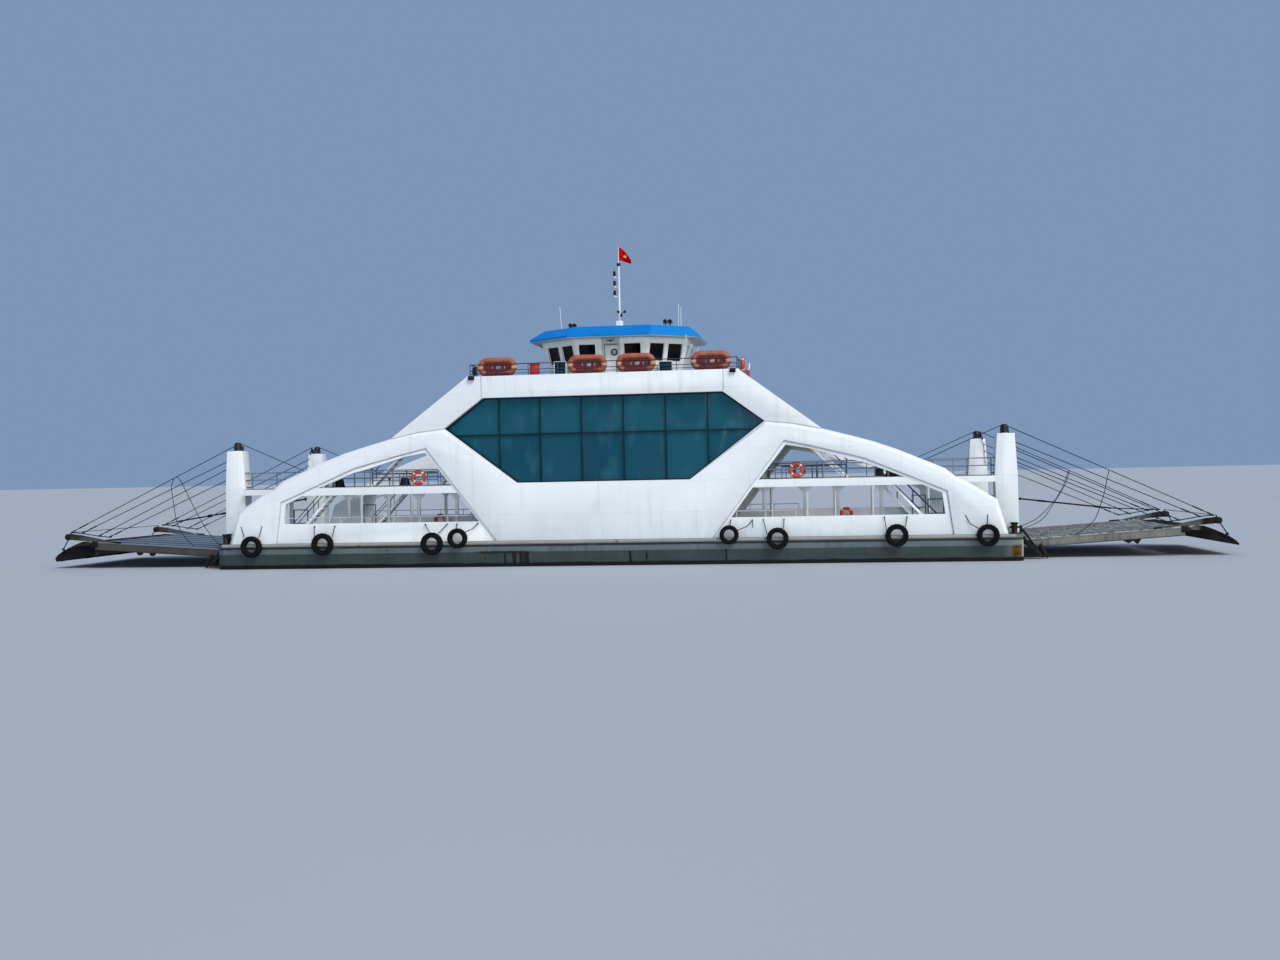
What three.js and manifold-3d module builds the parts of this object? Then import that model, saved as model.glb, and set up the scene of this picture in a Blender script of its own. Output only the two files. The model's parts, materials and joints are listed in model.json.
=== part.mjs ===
// A double-ended car ferry, built as a 1:2 scale model.
// X runs along the ship with +X as its fore end, +Y is port, +Z is up.
// The origin is amidships on the centre line, at the waterline.
// Every size below is the real ship's, in metres. The group is scaled once, at the end of the file.
import * as THREE from "three";
import { ConvexGeometry } from "three/addons/geometries/ConvexGeometry.js";
import { mergeVertices } from "three/addons/utils/BufferGeometryUtils.js";
import Module from "manifold-3d";

const wasm = await Module();
wasm.setup();

const MODEL_MM_PER_SHIP_METRE = 500;

// 0.3 mm on the model between pieces that touch, and 0.4 mm at pins.
const GAP = 0.0006;
const PIN_GAP = 0.0008;

const HULL = {
  halfLength: 20,
  halfBeam: 7,
  deck: 1.28,
  knuckle: 0.75,
  waterHalfBeam: 6.83,
  chineHalfBeam: 6.7,
  chine: -1.1,
  bottomHalfBeam: 6.2,
  keel: -1.5,
  rakeStart: 13.5,
  rakeEnd: -0.1,
  cornerCut: 0.4,
};
const LANE = { halfWidth: 4.98, slopeStart: 17.4, endHeight: 0.95 };
const HINGE_LUG = { halfWidth: 0.12, halfHeight: 0.1, sink: 0.1 };
const STRUT = { inner: 5.15, outer: 5.4 };
// Side outline of the slanting strut under each corner of the ramp: x, z.
const STRUT_OUTLINE = [
  [19.95, 1.22],
  [19.95, 0.95],
  [21.0, 0.1],
  [21.2, 0.2],
  [21.15, 0.4],
];
const DECK_TOP = HULL.deck + GAP;

// The outer side wall is an arch that stands proud of the lounge side and the opening frames.
const WALL = { outer: 6.98, inner: 6.68 };
const PANEL = { outer: 6.88, inner: 6.58 };
const MULLION = { outer: 6.6, inner: 6.45, width: 0.1, ringOutside: 0.14, ringInside: -0.06 };
const GLASS = { outer: MULLION.inner - GAP, inner: 6.4 };

// Arch top from the deck at the ship's end to the tip of the six-sided window: x, z.
const ARCH = [
  [19.3, 1.28],
  [18.8, 2.93],
  [17.5, 3.75],
  [16.9, 4.05],
  [16.4, 4.45],
  [15.35, 4.9],
  [14.2, 5.39],
  [13.16, 5.77],
  [12.2, 6.05],
  [10.7, 6.46],
  [9.3, 6.75],
];
const WINDOW_TIP = [7.94, 6.9];
const WINDOW_TOP = [5.96, 8.37];
const WINDOW_BOTTOM = [4.3, 4.14];
const MULLION_X = [-5.2, -3.13, -1.05, 1.05, 3.13, 5.2];
const MULLION_Z = 6.54;
// Edge of the recess round each end opening, from the deck inboard and back to the deck: x, z.
const RECESS = [
  [5.33, 1.28],
  [8.87, 5.95],
  [10.1, 5.67],
  [12.0, 5.19],
  [12.65, 5.01],
  [13.86, 4.49],
  [16.5, 3.38],
  [16.78, 1.28],
];
const LOWER_OPENING = [
  [6.25, 2.26],
  [7.32, 3.69],
  [15.35, 3.68],
  [16.26, 3.28],
  [16.4, 2.27],
];
const UPPER_OPENING = [
  [7.62, 4.07],
  [8.93, 5.72],
  [9.99, 5.54],
  [12.0, 4.95],
  [12.65, 4.8],
  [14.5, 4.07],
];

const ROOF_CORNER = [6.8, 9.38];
const ROOF_EDGE = 9.45;
const LOUNGE = { floor: 6.3, underside: 6.15, halfLength: 10.25, halfWidth: 6.38, wellSide: 5.68 };
const SEATS = { halfWidth: 5.2, foot: 0.05, footHalfWidth: 5, tieHalf: 0.1, tieHigh: 0.06 };
const SEAT_ROWS_X = [-6, -4.5, -3, 3, 4.5, 6];
// Side outline of a bench over the lounge floor: x, z.
const SEAT_OUTLINE = [
  [-0.25, 0.4],
  [0.25, 0.4],
  [0.35, 0.95],
  [0.28, 0.95],
  [0.18, 0.48],
  [-0.25, 0.48],
];
const BRIDGE_DECK = { top: 9.42, underside: 9.28, halfLength: 6.78 };
const RAKE_RUN = (ARCH[9][0] - ROOF_CORNER[0]) / (ROOF_CORNER[1] - ARCH[9][1]);
const END_WALL = { outset: 0.2, inset: 0.4, windowLow: 7.3, windowHigh: 8.5, windowHalf: 0.85 };
const END_WINDOWS_Y = [-4.6, -2.3, 0, 2.3, 4.6];

const CASING = { halfLength: 5.3, inner: 5.2, outer: 6.38, wall: 0.12, galleryHalf: 7.55 };
const WALKWAY = { top: 4.05, underside: 3.75, inner: 5.15, outer: PANEL.inner - GAP, end: 18.78 };
const WALKWAY_STEP = { x: 16.9, outer: 6.3 };
const WALKWAY_START = CASING.halfLength + 0.03;
const COLUMNS_X = [7.8, 9.8, 11.4, 13.5, 16.6];
const COLUMN = { y: 5.28, radius: 0.1, haunch: 0.45, haunchHalf: 0.05 };
const STAIR = { inner: 5.78, outer: 6.46, tread: 0.05, landing: 0.02 };
const LOWER_STAIR = { foot: 16.2, head: 13.7, steps: 12 };
const UPPER_STAIR = { foot: 11.9, head: 9.7, steps: 10 };
const STAIR_WELL = { low: 13.7, high: 15.9, side: 0.06 };
const RAIL = { thick: 0.05, heights: [0.51, 0.87] };

const TOWER = { inner: 5.1, outer: 5.9, top: 6.05 };
// Bracket on the tower's top that carries the hoist pivot.
const CHEEK = { start: 19.2, end: 19.56, outer: 5.5, sink: 0.1, overPivot: 0.08 };
// Tower section down its height: z, inboard x, outboard x.
const TOWER_SECTIONS = [
  [HULL.deck + GAP, 18.9, 19.92],
  [4.07, 18.82, 19.9],
  [6.05, 18.96, 19.79],
];
const TOWER_HEAD = { x: 19.36, y: 5.49, radius: 0.19, top: 6.5, round: 0.1 };

const HOIST = { y: 5.05, half: 0.02, wire: 0.04, pivotX: 19.5, pivotZ: 6.25, pin: 0.05 };
const HOIST_BARS = { strap: 0.14, foot: 0.08 };
// Upper and lower ends of the hoist wires at the fore end: x, z, x, z.
const HOIST_WIRES = [
  [19.56, 6.42, 29.0, 1.95],
  [20.0, 5.6, 28.4, 1.9],
  [20.0, 5.22, 27.45, 1.74],
  [20.02, 4.64, 26.85, 1.68],
];

const RAMP = {
  hingeX: 20.3,
  hingeZ: 0.75,
  slope: 0.0655,
  halfWidth: 4.9,
  length: 7.45,
  plateTop: 0.17,
  plateBottom: 0.07,
  girderBottom: -0.25,
  girderWidth: 0.18,
  barrel: 0.11,
  beams: 8,
  beamDepth: 0.2,
  beamHalf: 0.06,
  heelLength: 0.2,
  heelBottom: -0.08,
};
const RAMP_LUGS_Y = [-4.6, -2.3, 0, 2.3, 4.6];
// Outline of the curved arm on each side of the ramp's tip, along and above the hinge: x, z.
const RAMP_ARM = [
  [6.3, 0.17],
  [7.6, 0.37],
  [8.5, 0.49],
  [9.0, 0.51],
  [9.15, 0.36],
  [9.0, 0.22],
  [8.0, 0.2],
  [7.3, 0.0],
  [6.3, 0.0],
];
const ARM = { inner: 4.55, pinX: 8.5, pinZ: 0.44 };
const ROLLER = { x: 9.02, z: 0.36, radius: 0.15, overhang: 0.03 };
// Landing feet under the girders: a toothed plate at the fore end, round pads and a skirt aft.
const RAMP_FOOT = [
  [4.55, -0.24],
  [5.45, -0.24],
  [5.25, -0.48],
  [5.05, -0.3],
  [4.85, -0.42],
];
const RAMP_PAD = { xs: [4.24, 4.95], radius: 0.15 };
const RAMP_SKIRT = [
  [5.5, -0.22],
  [7.44, -0.22],
  [7.44, -0.55],
];
const FLAP_AXIS = { x: 7.6, z: 0, radius: 0.05 };
const FLAP_LUGS_Y = [-3.4, 0, 3.4];
const FLAP = { halfWidth: 4.42, lugHalf: 0.1, lugLow: -0.06, lugHigh: 0.09, lugRoom: 0.012, notchEnd: 7.77 };
// Side outline of the tip flap, along and above the ramp's hinge: x, z.
const FLAP_OUTLINE = [
  [7.61, 0.13],
  [8.42, 0.12],
  [8.9, -0.1],
  [9.5, -0.42],
  [10.0, -0.82],
  [10.0, -0.93],
  [7.61, -0.26],
];
// The aft flap has webs below and a deep lip across its tip.
const FLAP_WEB = [
  [7.61, -0.2],
  [9.98, -0.85],
  [9.93, -1.04],
  [7.61, -0.59],
];
const FLAP_WEBS_Y = [-4.36, -1.7, 1.7, 4.36];
const FLAP_WEB_HALF = 0.06;
const FLAP_LIP = [
  [9.7, -0.68],
  [9.98, -0.78],
  [9.95, -1.044],
  [9.7, -0.995],
];

const STRAKE = { low: 1.11, high: 1.28, out: 0.1 };
const TYRE = { inside: 0.5, width: 0.28, sink: 0.02 };
// Fender tyres along one side: x, z, outer diameter.
const TYRES = [
  [-17.99, 1.16, 1.09],
  [-14.24, 1.24, 1.13],
  [-8.59, 1.2, 1.13],
  [-7.28, 1.45, 1.0],
  [6.16, 1.44, 0.93],
  [8.48, 1.23, 1.06],
  [14.1, 1.3, 1.09],
  [18.31, 1.25, 1.05],
];

const BOLLARDS = [
  [19.62, 6.2],
  [19.62, 6.62],
];
const BOLLARD = { radius: 0.12, height: 0.5 };

// Wheelhouse plan at the wall top: an eight-sided house, half sizes.
const HOUSE = { sideX: 1.9, sideY: 3.5, endX: 3.91, endY: 1.95 };
const HOUSE_FOOT_SCALE = 0.87;
// The diagonal walls at half the windows' height, as a share of the plan at the wall top.
const HOUSE_WINDOW_SCALE = 0.94;
const HOUSE_WALL = { foot: BRIDGE_DECK.top + GAP, top: 11.5, thick: 0.12 };
const HOUSE_WINDOW = { low: 10.31, high: 11.19, depth: 1.2, glass: 0.04, lap: 0.08 };
const SIDE_WINDOWS_X = [-1.12, 1.24];
const SIDE_WINDOW = { low: 10.55, width: 0.85 };
const DIAGONAL_WINDOWS = [-0.55, 0.55];
const DIAGONAL_WINDOW_WIDTH = 0.85;
const END_WINDOW = { ys: [-1.1, 0, 1.1], width: 0.9 };
const DOOR = { half: 0.355, low: 9.47, high: 11.18, outer: 3.0, thick: 0.05, clear: 0.015, hinge: 0.014 };
const DOOR_KNUCKLES_Z = [9.67, 10.83];
const DOOR_CASE = { half: 0.5, top: 11.33 };
const EAVE = { sideX: 2.2, sideY: 4.1, endX: 4.49, endY: 2.27, low: 11.5006, high: 11.62 };
const ROOF_TOP = { sideX: 1.9, sideY: 2.75, endX: 3.8, endY: 1.3, high: 12.2 };

const MAST = { foot: ROOF_TOP.high + GAP, top: 15.7, radius: 0.06, staffTop: 16.76 };
const PEDESTAL = { half: 0.18, top: 12.75 };
const MASTHEAD = { radius: 0.09, sink: 0.02, high: 0.16 };
const MAST_ARMS_Z = [14.07, 14.59, 15.11];
const MAST_LAMP = { reach: 0.27, arm: 0.02, x: 0.24, radius: 0.06, high: 0.24 };
const STAFF_RADIUS = 0.02;
const FLAG_HOIST = STAFF_RADIUS * Math.cos(Math.PI / 6) + GAP;
const FLAG_OUTLINE = [
  [FLAG_HOIST, 16.74],
  [0.6, 16.45],
  [0.72, 15.83],
  [0.42, 15.8],
  [FLAG_HOIST, 16.05],
];

const FLOATS_X = [-5.32, -0.76, 1.67, 5.37];
const FLOAT = { halfLength: 0.98, half: 0.485, inner: 0.2, y: 6.2, thick: 0.3, floor: 0.06, lap: 0.02 };
const FLOAT_RACK = { over: 0.7, halfWidth: 0.1, lap: 0.03 };
const BRIDGE_RAIL = { x: 6.68, y: 6.47, low: 9.4206, mid: 9.76, top: 10.08, bays: 4 };

const PROPELLER = { x: 17.5, z: -1.1, hub: 0.09, hubHalf: 0.14, blades: 4, thick: 0.05, pitch: Math.PI / 3 };
// Outline of a propeller blade, across and away from the hub.
const BLADE_OUTLINE = [
  [-0.05, 0.03],
  [-0.2, 0.28],
  [-0.08, 0.4],
  [0.1, 0.388],
  [0.2, 0.26],
  [0.05, 0.03],
];
const SHAFT = { start: 14.6, end: PROPELLER.x - PROPELLER.hubHalf - PIN_GAP, radius: 0.08 };
const SHAFT_STRUT = { start: SHAFT.end - 0.35, end: SHAFT.end - 0.15, half: 0.04, top: -0.5 };
const RUDDER = { x: 18.4, top: -0.53, bottom: -1.46, ahead: 0.22, behind: 0.5, half: 0.05, stock: 0.06 };

const WINCH = { x: 13.95, y: 5.5, half: 0.22, base: 0.3, baseHigh: 0.05, axle: 0.3, drum: 0.2, frame: 0.04 };
// Outline of a winch's side frame over the side deck: x, z.
const WINCH_FRAME = [
  [-0.28, 0.04],
  [0.28, 0.04],
  [0.1, 0.56],
  [-0.1, 0.56],
];

// Colour, roughness and metalness of each finish.
const FINISH = {
  white: [0xe4eaf0, 0.5, 0],
  hull: [0x8b918f, 0.6, 0],
  glass: [0x0f5866, 0.1, 0],
  blue: [0x1673c6, 0.5, 0],
  orange: [0xd65a20, 0.6, 0],
  red: [0xc01818, 0.7, 0],
  rubber: [0x15161a, 0.85, 0],
  steel: [0x9a958a, 0.7, 0.2],
  dark: [0x2b2a28, 0.8, 0.2],
  wire: [0x22262c, 0.6, 0.4],
  deck: [0x6f7a72, 0.75, 0],
  bronze: [0x9c7a3c, 0.35, 0.8],
  seat: [0x2f5f9c, 0.6, 0],
};

// Closed geometry to a solid that can be joined and cut.
function solid(geometry) {
  const bare = geometry.clone();
  bare.deleteAttribute("normal");
  bare.deleteAttribute("uv");
  const merged = mergeVertices(bare, 1e-5);
  return new wasm.Manifold(
    new wasm.Mesh({
      numProp: 3,
      vertProperties: merged.attributes.position.array,
      triVerts: new Uint32Array(merged.index.array),
    }),
  );
}

function geometryOf(body) {
  const mesh = body.getMesh();
  const geometry = new THREE.BufferGeometry();
  geometry.setAttribute("position", new THREE.BufferAttribute(mesh.vertProperties, 3));
  geometry.setIndex(new THREE.BufferAttribute(mesh.triVerts, 1));
  return geometry;
}

const join = (bodies) => bodies.reduce((whole, body) => whole.add(body));
const cut = (body, tools) => tools.reduce((left, tool) => left.subtract(tool), body);

function box(x0, x1, y0, y1, z0, z1) {
  const geometry = new THREE.BoxGeometry(x1 - x0, y1 - y0, z1 - z0);
  geometry.translate((x0 + x1) / 2, (y0 + y1) / 2, (z0 + z1) / 2);
  return solid(geometry);
}

const shapeOf = (points) => new THREE.Shape(points.map(([a, b]) => new THREE.Vector2(a, b)));
const extruded = (points, depth) => new THREE.ExtrudeGeometry(shapeOf(points), { depth, bevelEnabled: false });

// A plate drawn in x and z, from y0 to y1, with holes cut through it.
function plateXZ(points, y0, y1, holes = []) {
  const geometry = extruded(points, y1 - y0);
  geometry.rotateX(Math.PI / 2);
  geometry.translate(0, y1, 0);
  return cut(
    solid(geometry),
    holes.map((hole) => plateXZ(hole, y0 - 0.1, y1 + 0.1)),
  );
}

// A plate drawn in y and z, from x0 to x1.
function plateYZ(points, x0, x1) {
  const geometry = extruded(points, x1 - x0);
  const turn = new THREE.Matrix4().makeBasis(
    new THREE.Vector3(0, 1, 0),
    new THREE.Vector3(0, 0, 1),
    new THREE.Vector3(1, 0, 0),
  );
  geometry.applyMatrix4(turn);
  geometry.translate(x0, 0, 0);
  return solid(geometry);
}

// A plate drawn in x and y, from z0 to z1.
function plateXY(points, z0, z1) {
  const geometry = extruded(points, z1 - z0);
  geometry.translate(0, 0, z0);
  return solid(geometry);
}

function rodY(x, z, radius, y0, y1, sides = 12) {
  const geometry = new THREE.CylinderGeometry(radius, radius, y1 - y0, sides);
  geometry.rotateY(Math.PI / 2);
  geometry.translate(x, (y0 + y1) / 2, z);
  return solid(geometry);
}

function rodZ(x, y, radius, z0, z1, sides = 8) {
  const geometry = new THREE.CylinderGeometry(radius, radius, z1 - z0, sides);
  geometry.rotateX(Math.PI / 2);
  geometry.translate(x, y, (z0 + z1) / 2);
  return solid(geometry);
}

function rodX(y, z, radius, x0, x1, sides = 12) {
  const geometry = new THREE.CylinderGeometry(radius, radius, x1 - x0, sides);
  geometry.rotateZ(Math.PI / 2);
  geometry.translate((x0 + x1) / 2, y, z);
  return solid(geometry);
}

const hullOfPoints = (points) => solid(new ConvexGeometry(points.map((p) => new THREE.Vector3(...p))));

// Outline points of one end followed by their mirror image at the other end.
const mirrored = (points) => [...points, ...points.map(([a, b]) => [-a, b]).reverse()];
const flipX = (points) => points.map(([x, z]) => [-x, z]).reverse();
const between = (a, b) => (a < b ? [a, b] : [b, a]);

// A straight bar between two points of the x-z plane.
function bar([x0, z0], [x1, z1], width, y0, y1) {
  const length = Math.hypot(x1 - x0, z1 - z0);
  const across = [(-(z1 - z0) / length) * (width / 2), ((x1 - x0) / length) * (width / 2)];
  return plateXZ(
    [
      [x0 - across[0], z0 - across[1]],
      [x1 - across[0], z1 - across[1]],
      [x1 + across[0], z1 + across[1]],
      [x0 + across[0], z0 + across[1]],
    ],
    y0,
    y1,
  );
}

// A flat railing from a to b. slab makes a box from two places along it and two heights,
// thicker by grow on both faces.
function railing(a, b, foot, heights, bays, slab) {
  const top = heights[heights.length - 1];
  const pitch = (b - a - RAIL.thick) / bays;
  const holes = [];
  for (let bay = 0; bay < bays; bay++) {
    const left = a + RAIL.thick + bay * pitch;
    const right = a + (bay + 1) * pitch;
    heights.forEach((height, i) => {
      const low = i ? heights[i - 1] : foot + RAIL.thick;
      holes.push(slab(left, right, low, height - RAIL.thick, 0.1));
    });
  }
  return cut(slab(a, b, foot, top, 0), holes);
}

// A railing along the ship, and one across it, with the lower face at the place given.
const railAlong = (a, b, foot, heights, bays, y) =>
  railing(a, b, foot, heights, bays, (a0, a1, z0, z1, grow) =>
    box(a0, a1, y - grow, y + RAIL.thick + grow, z0, z1),
  );
const railAcross = (a, b, foot, heights, bays, x) =>
  railing(a, b, foot, heights, bays, (a0, a1, z0, z1, grow) =>
    box(x - grow, x + RAIL.thick + grow, a0, a1, z0, z1),
  );

const ferry = new THREE.Group();
const finishes = {};
for (const [name, [color, roughness, metalness]] of Object.entries(FINISH)) {
  finishes[name] = new THREE.MeshStandardMaterial({ color, roughness, metalness });
}

// Adds one named piece. endSign and sideSign mirror a piece drawn for the fore end and the starboard side.
function add(name, body, finish, endSign = 1, sideSign = 1, parent = ferry) {
  const mesh = new THREE.Mesh(geometryOf(body), finishes[finish].clone());
  mesh.name = name;
  mesh.scale.set(endSign, sideSign, 1);
  parent.add(mesh);
}

const ENDS = [
  ["fore", 1],
  ["aft", -1],
];
const SIDES = [
  ["starboard", 1],
  ["port", -1],
];

function hull() {
  const { halfLength, halfBeam, deck, keel, cornerCut } = HULL;
  const profile = plateXZ(
    mirrored([
      [halfLength, deck],
      [halfLength, HULL.rakeEnd],
      [HULL.rakeStart, keel],
    ]).reverse(),
    -halfBeam,
    halfBeam,
  );
  const section = plateYZ(
    mirrored([
      [halfBeam, deck],
      [halfBeam, HULL.knuckle],
      [HULL.waterHalfBeam, 0],
      [HULL.chineHalfBeam, HULL.chine],
      [HULL.bottomHalfBeam, keel],
    ]).reverse(),
    -halfLength,
    halfLength,
  );
  const plan = plateXY(
    [
      [halfLength, halfBeam - cornerCut],
      [halfLength - cornerCut, halfBeam],
      [cornerCut - halfLength, halfBeam],
      [-halfLength, halfBeam - cornerCut],
      [-halfLength, cornerCut - halfBeam],
      [cornerCut - halfLength, -halfBeam],
      [halfLength - cornerCut, -halfBeam],
      [halfLength, cornerCut - halfBeam],
    ],
    keel,
    deck,
  );
  const overEnd = halfLength + 1;
  const fall = (deck - LANE.endHeight) / (halfLength - LANE.slopeStart);
  const slope = [
    [LANE.slopeStart, deck],
    [overEnd, deck - (overEnd - LANE.slopeStart) * fall],
    [overEnd, deck + 1],
    [LANE.slopeStart, deck + 1],
  ];
  const lugEnd = RAMP.hingeX - RAMP.barrel - PIN_GAP;
  const lugLow = RAMP.hingeZ - HINGE_LUG.halfHeight;
  const lugHigh = RAMP.hingeZ + HINGE_LUG.halfHeight;
  const bollardFoot = deck - 0.05;
  const bollardTop = deck + BOLLARD.height;
  let body = profile.intersect(section).intersect(plan);
  for (const sign of [1, -1]) {
    const wedge = sign > 0 ? slope : flipX(slope);
    body = body.subtract(plateXZ(wedge, -LANE.halfWidth, LANE.halfWidth));
    const [lugX0, lugX1] = between(sign * (halfLength - HINGE_LUG.sink), sign * lugEnd);
    for (const y of RAMP_LUGS_Y) {
      const lug = box(lugX0, lugX1, y - HINGE_LUG.halfWidth, y + HINGE_LUG.halfWidth, lugLow, lugHigh);
      body = body.add(lug);
    }
    for (const side of [1, -1]) {
      const [y0, y1] = between(side * STRUT.inner, side * STRUT.outer);
      body = body.add(plateXZ(sign > 0 ? STRUT_OUTLINE : flipX(STRUT_OUTLINE), y0, y1));
      for (const [x, y] of BOLLARDS) {
        body = body.add(rodZ(sign * x, side * y, BOLLARD.radius, bollardFoot, bollardTop, 6));
      }
    }
    const [shaft0, shaft1] = between(sign * SHAFT.start, sign * SHAFT.end);
    body = body.add(rodX(0, PROPELLER.z, SHAFT.radius, shaft0, shaft1));
    const [strut0, strut1] = between(sign * SHAFT_STRUT.start, sign * SHAFT_STRUT.end);
    const { half, top } = SHAFT_STRUT;
    body = body.add(box(strut0, strut1, -half, half, PROPELLER.z, top));
  }
  return body;
}

function fenderLine() {
  const edge = HULL.halfBeam + GAP;
  const run = HULL.halfLength - HULL.cornerCut;
  const strake = plateYZ(
    [
      [-edge, STRAKE.low],
      [-edge, STRAKE.high],
      [-edge - STRAKE.out * 0.75, STRAKE.high - 0.02],
      [-edge - STRAKE.out, (STRAKE.low + STRAKE.high) / 2],
      [-edge - STRAKE.out * 0.75, STRAKE.low + 0.02],
    ],
    -run,
    run,
  );
  const tyres = TYRES.map(([x, z, diameter]) => {
    const outer = diameter / 2;
    const inner = outer * TYRE.inside;
    const half = TYRE.width / 2;
    const profile = [
      [inner, -half * 0.7],
      [outer * 0.9, -half],
      [outer, 0],
      [outer * 0.9, half],
      [inner, half * 0.7],
      [inner, -half * 0.7],
    ].map(([r, h]) => new THREE.Vector2(r, h));
    const geometry = new THREE.LatheGeometry(profile, 10);
    geometry.translate(x, -edge - STRAKE.out - half + TYRE.sink, z);
    return solid(geometry);
  });
  return join([strake, ...tyres]);
}

// The outer side wall: end legs, arch and the solid block amidships.
function sideWall() {
  const half = [[ARCH[0][0], DECK_TOP], ...ARCH.slice(1), WINDOW_TIP, WINDOW_BOTTOM];
  const wall = plateXZ(mirrored(half), -WALL.outer, -WALL.inner);
  const recess = [[RECESS[0][0], 0], ...RECESS, [RECESS[RECESS.length - 1][0], 0]];
  const y0 = -WALL.outer - 1;
  return cut(wall, [plateXZ(recess, y0, 0), plateXZ(flipX(recess), y0, 0)]);
}

function hexagon(grow) {
  const [tipX, tipZ] = WINDOW_TIP;
  const [topX, topZ] = WINDOW_TOP;
  const [bottomX, bottomZ] = WINDOW_BOTTOM;
  return mirrored([
    [bottomX + grow * 0.5, bottomZ - grow],
    [tipX + grow * 1.6, tipZ],
    [topX + grow * 0.5, topZ + grow],
  ]);
}

// The upper side panel over the window, with the window's mullions set back behind it.
function loungeSide() {
  const clear = 0.0015;
  const shoulder = ARCH[9];
  const brow = ARCH[10];
  const outline = mirrored([
    [WINDOW_TOP[0], WINDOW_TOP[1]],
    [WINDOW_TIP[0], WINDOW_TIP[1] + clear],
    [brow[0], brow[1] + clear],
    [shoulder[0] - 0.01, shoulder[1] + 3 * clear],
    ROOF_CORNER,
    [ROOF_CORNER[0] - 0.05, ROOF_EDGE],
  ]);
  const panel = plateXZ(outline, -PANEL.outer, -PANEL.inner);
  const ringHole = hexagon(MULLION.ringInside);
  const ring = plateXZ(hexagon(MULLION.ringOutside), -MULLION.outer, -MULLION.inner, [ringHole]);
  const half = MULLION.width / 2;
  const low = WINDOW_BOTTOM[1] - half;
  const high = WINDOW_TOP[1];
  const posts = MULLION_X.map((x) => box(x - half, x + half, -MULLION.outer, -MULLION.inner, low, high));
  const reach = WINDOW_TIP[0];
  posts.push(box(-reach, reach, -MULLION.outer, -MULLION.inner, MULLION_Z - half, MULLION_Z + half));
  const window = plateXZ(hexagon(0.1), -MULLION.outer, -MULLION.inner);
  return join([panel, ring, ...posts.map((post) => post.intersect(window))]);
}

const loungeGlass = () => plateXZ(hexagon(0.1), -GLASS.outer, -GLASS.inner);

// Bulwark, middle beam and rim of one end opening.
function openingFrame() {
  const outline = RECESS.map(([x, z], i) => {
    const shiftX = i === 0 ? 2 * GAP : i === RECESS.length - 1 ? -2 * GAP : 0;
    return [x + shiftX, z > HULL.deck ? z - 3 * GAP : DECK_TOP];
  });
  outline[RECESS.length - 2][0] -= 2 * GAP;
  outline[1][0] += GAP;
  return plateXZ(outline, -PANEL.outer, -PANEL.inner, [LOWER_OPENING, UPPER_OPENING]);
}

function loungeFloor() {
  const { halfLength, halfWidth, underside, floor } = LOUNGE;
  const slab = box(-halfLength, halfLength, -halfWidth, halfWidth, underside, floor);
  const wells = [];
  for (const [, end] of ENDS) {
    for (const [, side] of SIDES) {
      const [x0, x1] = between(end * (UPPER_STAIR.head - 0.02), end * (halfLength + 1));
      const [y0, y1] = between(-side * LOUNGE.wellSide, -side * (halfWidth + 1));
      wells.push(box(x0, x1, y0, y1, underside - 1, floor + 1));
    }
  }
  return cut(slab, wells);
}

function loungeSeats() {
  const { halfWidth, footHalfWidth, tieHalf, tieHigh } = SEATS;
  const foot = LOUNGE.floor + GAP;
  const seatUnderside = foot + SEAT_OUTLINE[0][1];
  const benches = SEAT_ROWS_X.map((row) => {
    const bench = plateXZ(SEAT_OUTLINE.map(([x, z]) => [row + x, foot + z]), -halfWidth, halfWidth);
    const [leg0, leg1] = [row - SEATS.foot, row + SEATS.foot];
    const legs = box(leg0, leg1, -footHalfWidth, footHalfWidth, foot, seatUnderside + 0.02);
    return bench.add(legs);
  });
  const reach = SEAT_ROWS_X[SEAT_ROWS_X.length - 1] + 0.2;
  return join([...benches, box(-reach, reach, -tieHalf, tieHalf, foot, foot + tieHigh)]);
}

// The sloping wall across each end of the lounge, with its windows cut.
function loungeEnd() {
  const rakeX = (z) => ARCH[9][0] - (z - ARCH[9][1]) * RAKE_RUN;
  const low = LOUNGE.floor + GAP;
  const high = BRIDGE_DECK.underside - GAP;
  const width = PANEL.inner - GAP;
  const wall = plateXZ(
    [
      [rakeX(low) - END_WALL.inset, low],
      [rakeX(low) - END_WALL.outset, low],
      [rakeX(high) - END_WALL.outset, high],
      [rakeX(high) - END_WALL.inset, high],
    ],
    -width,
    width,
  );
  const { windowHalf, windowLow, windowHigh } = END_WALL;
  const [inboard, outboard] = [BRIDGE_DECK.halfLength - 1, ARCH[9][0]];
  const windows = END_WINDOWS_Y.map((y) =>
    box(inboard, outboard, y - windowHalf, y + windowHalf, windowLow, windowHigh),
  );
  return cut(wall, windows);
}

function bridgeDeck() {
  const width = PANEL.inner - GAP;
  const reach = BRIDGE_DECK.halfLength;
  return box(-reach, reach, -width, width, BRIDGE_DECK.underside, BRIDGE_DECK.top);
}

// Engine casing on the car deck, with the gallery's inner wall above it.
function casing() {
  const { halfLength, inner, outer, wall, galleryHalf } = CASING;
  const foot = WALKWAY.top + GAP;
  const block = box(-halfLength, halfLength, -outer, -inner, DECK_TOP, WALKWAY.top);
  const screen = box(-galleryHalf, galleryHalf, -inner - wall, -inner, foot, LOUNGE.underside - GAP);
  const root = box(-halfLength, halfLength, -inner - wall, -inner, WALKWAY.top - 0.01, foot + 0.01);
  return join([block, root, screen]);
}

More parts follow.
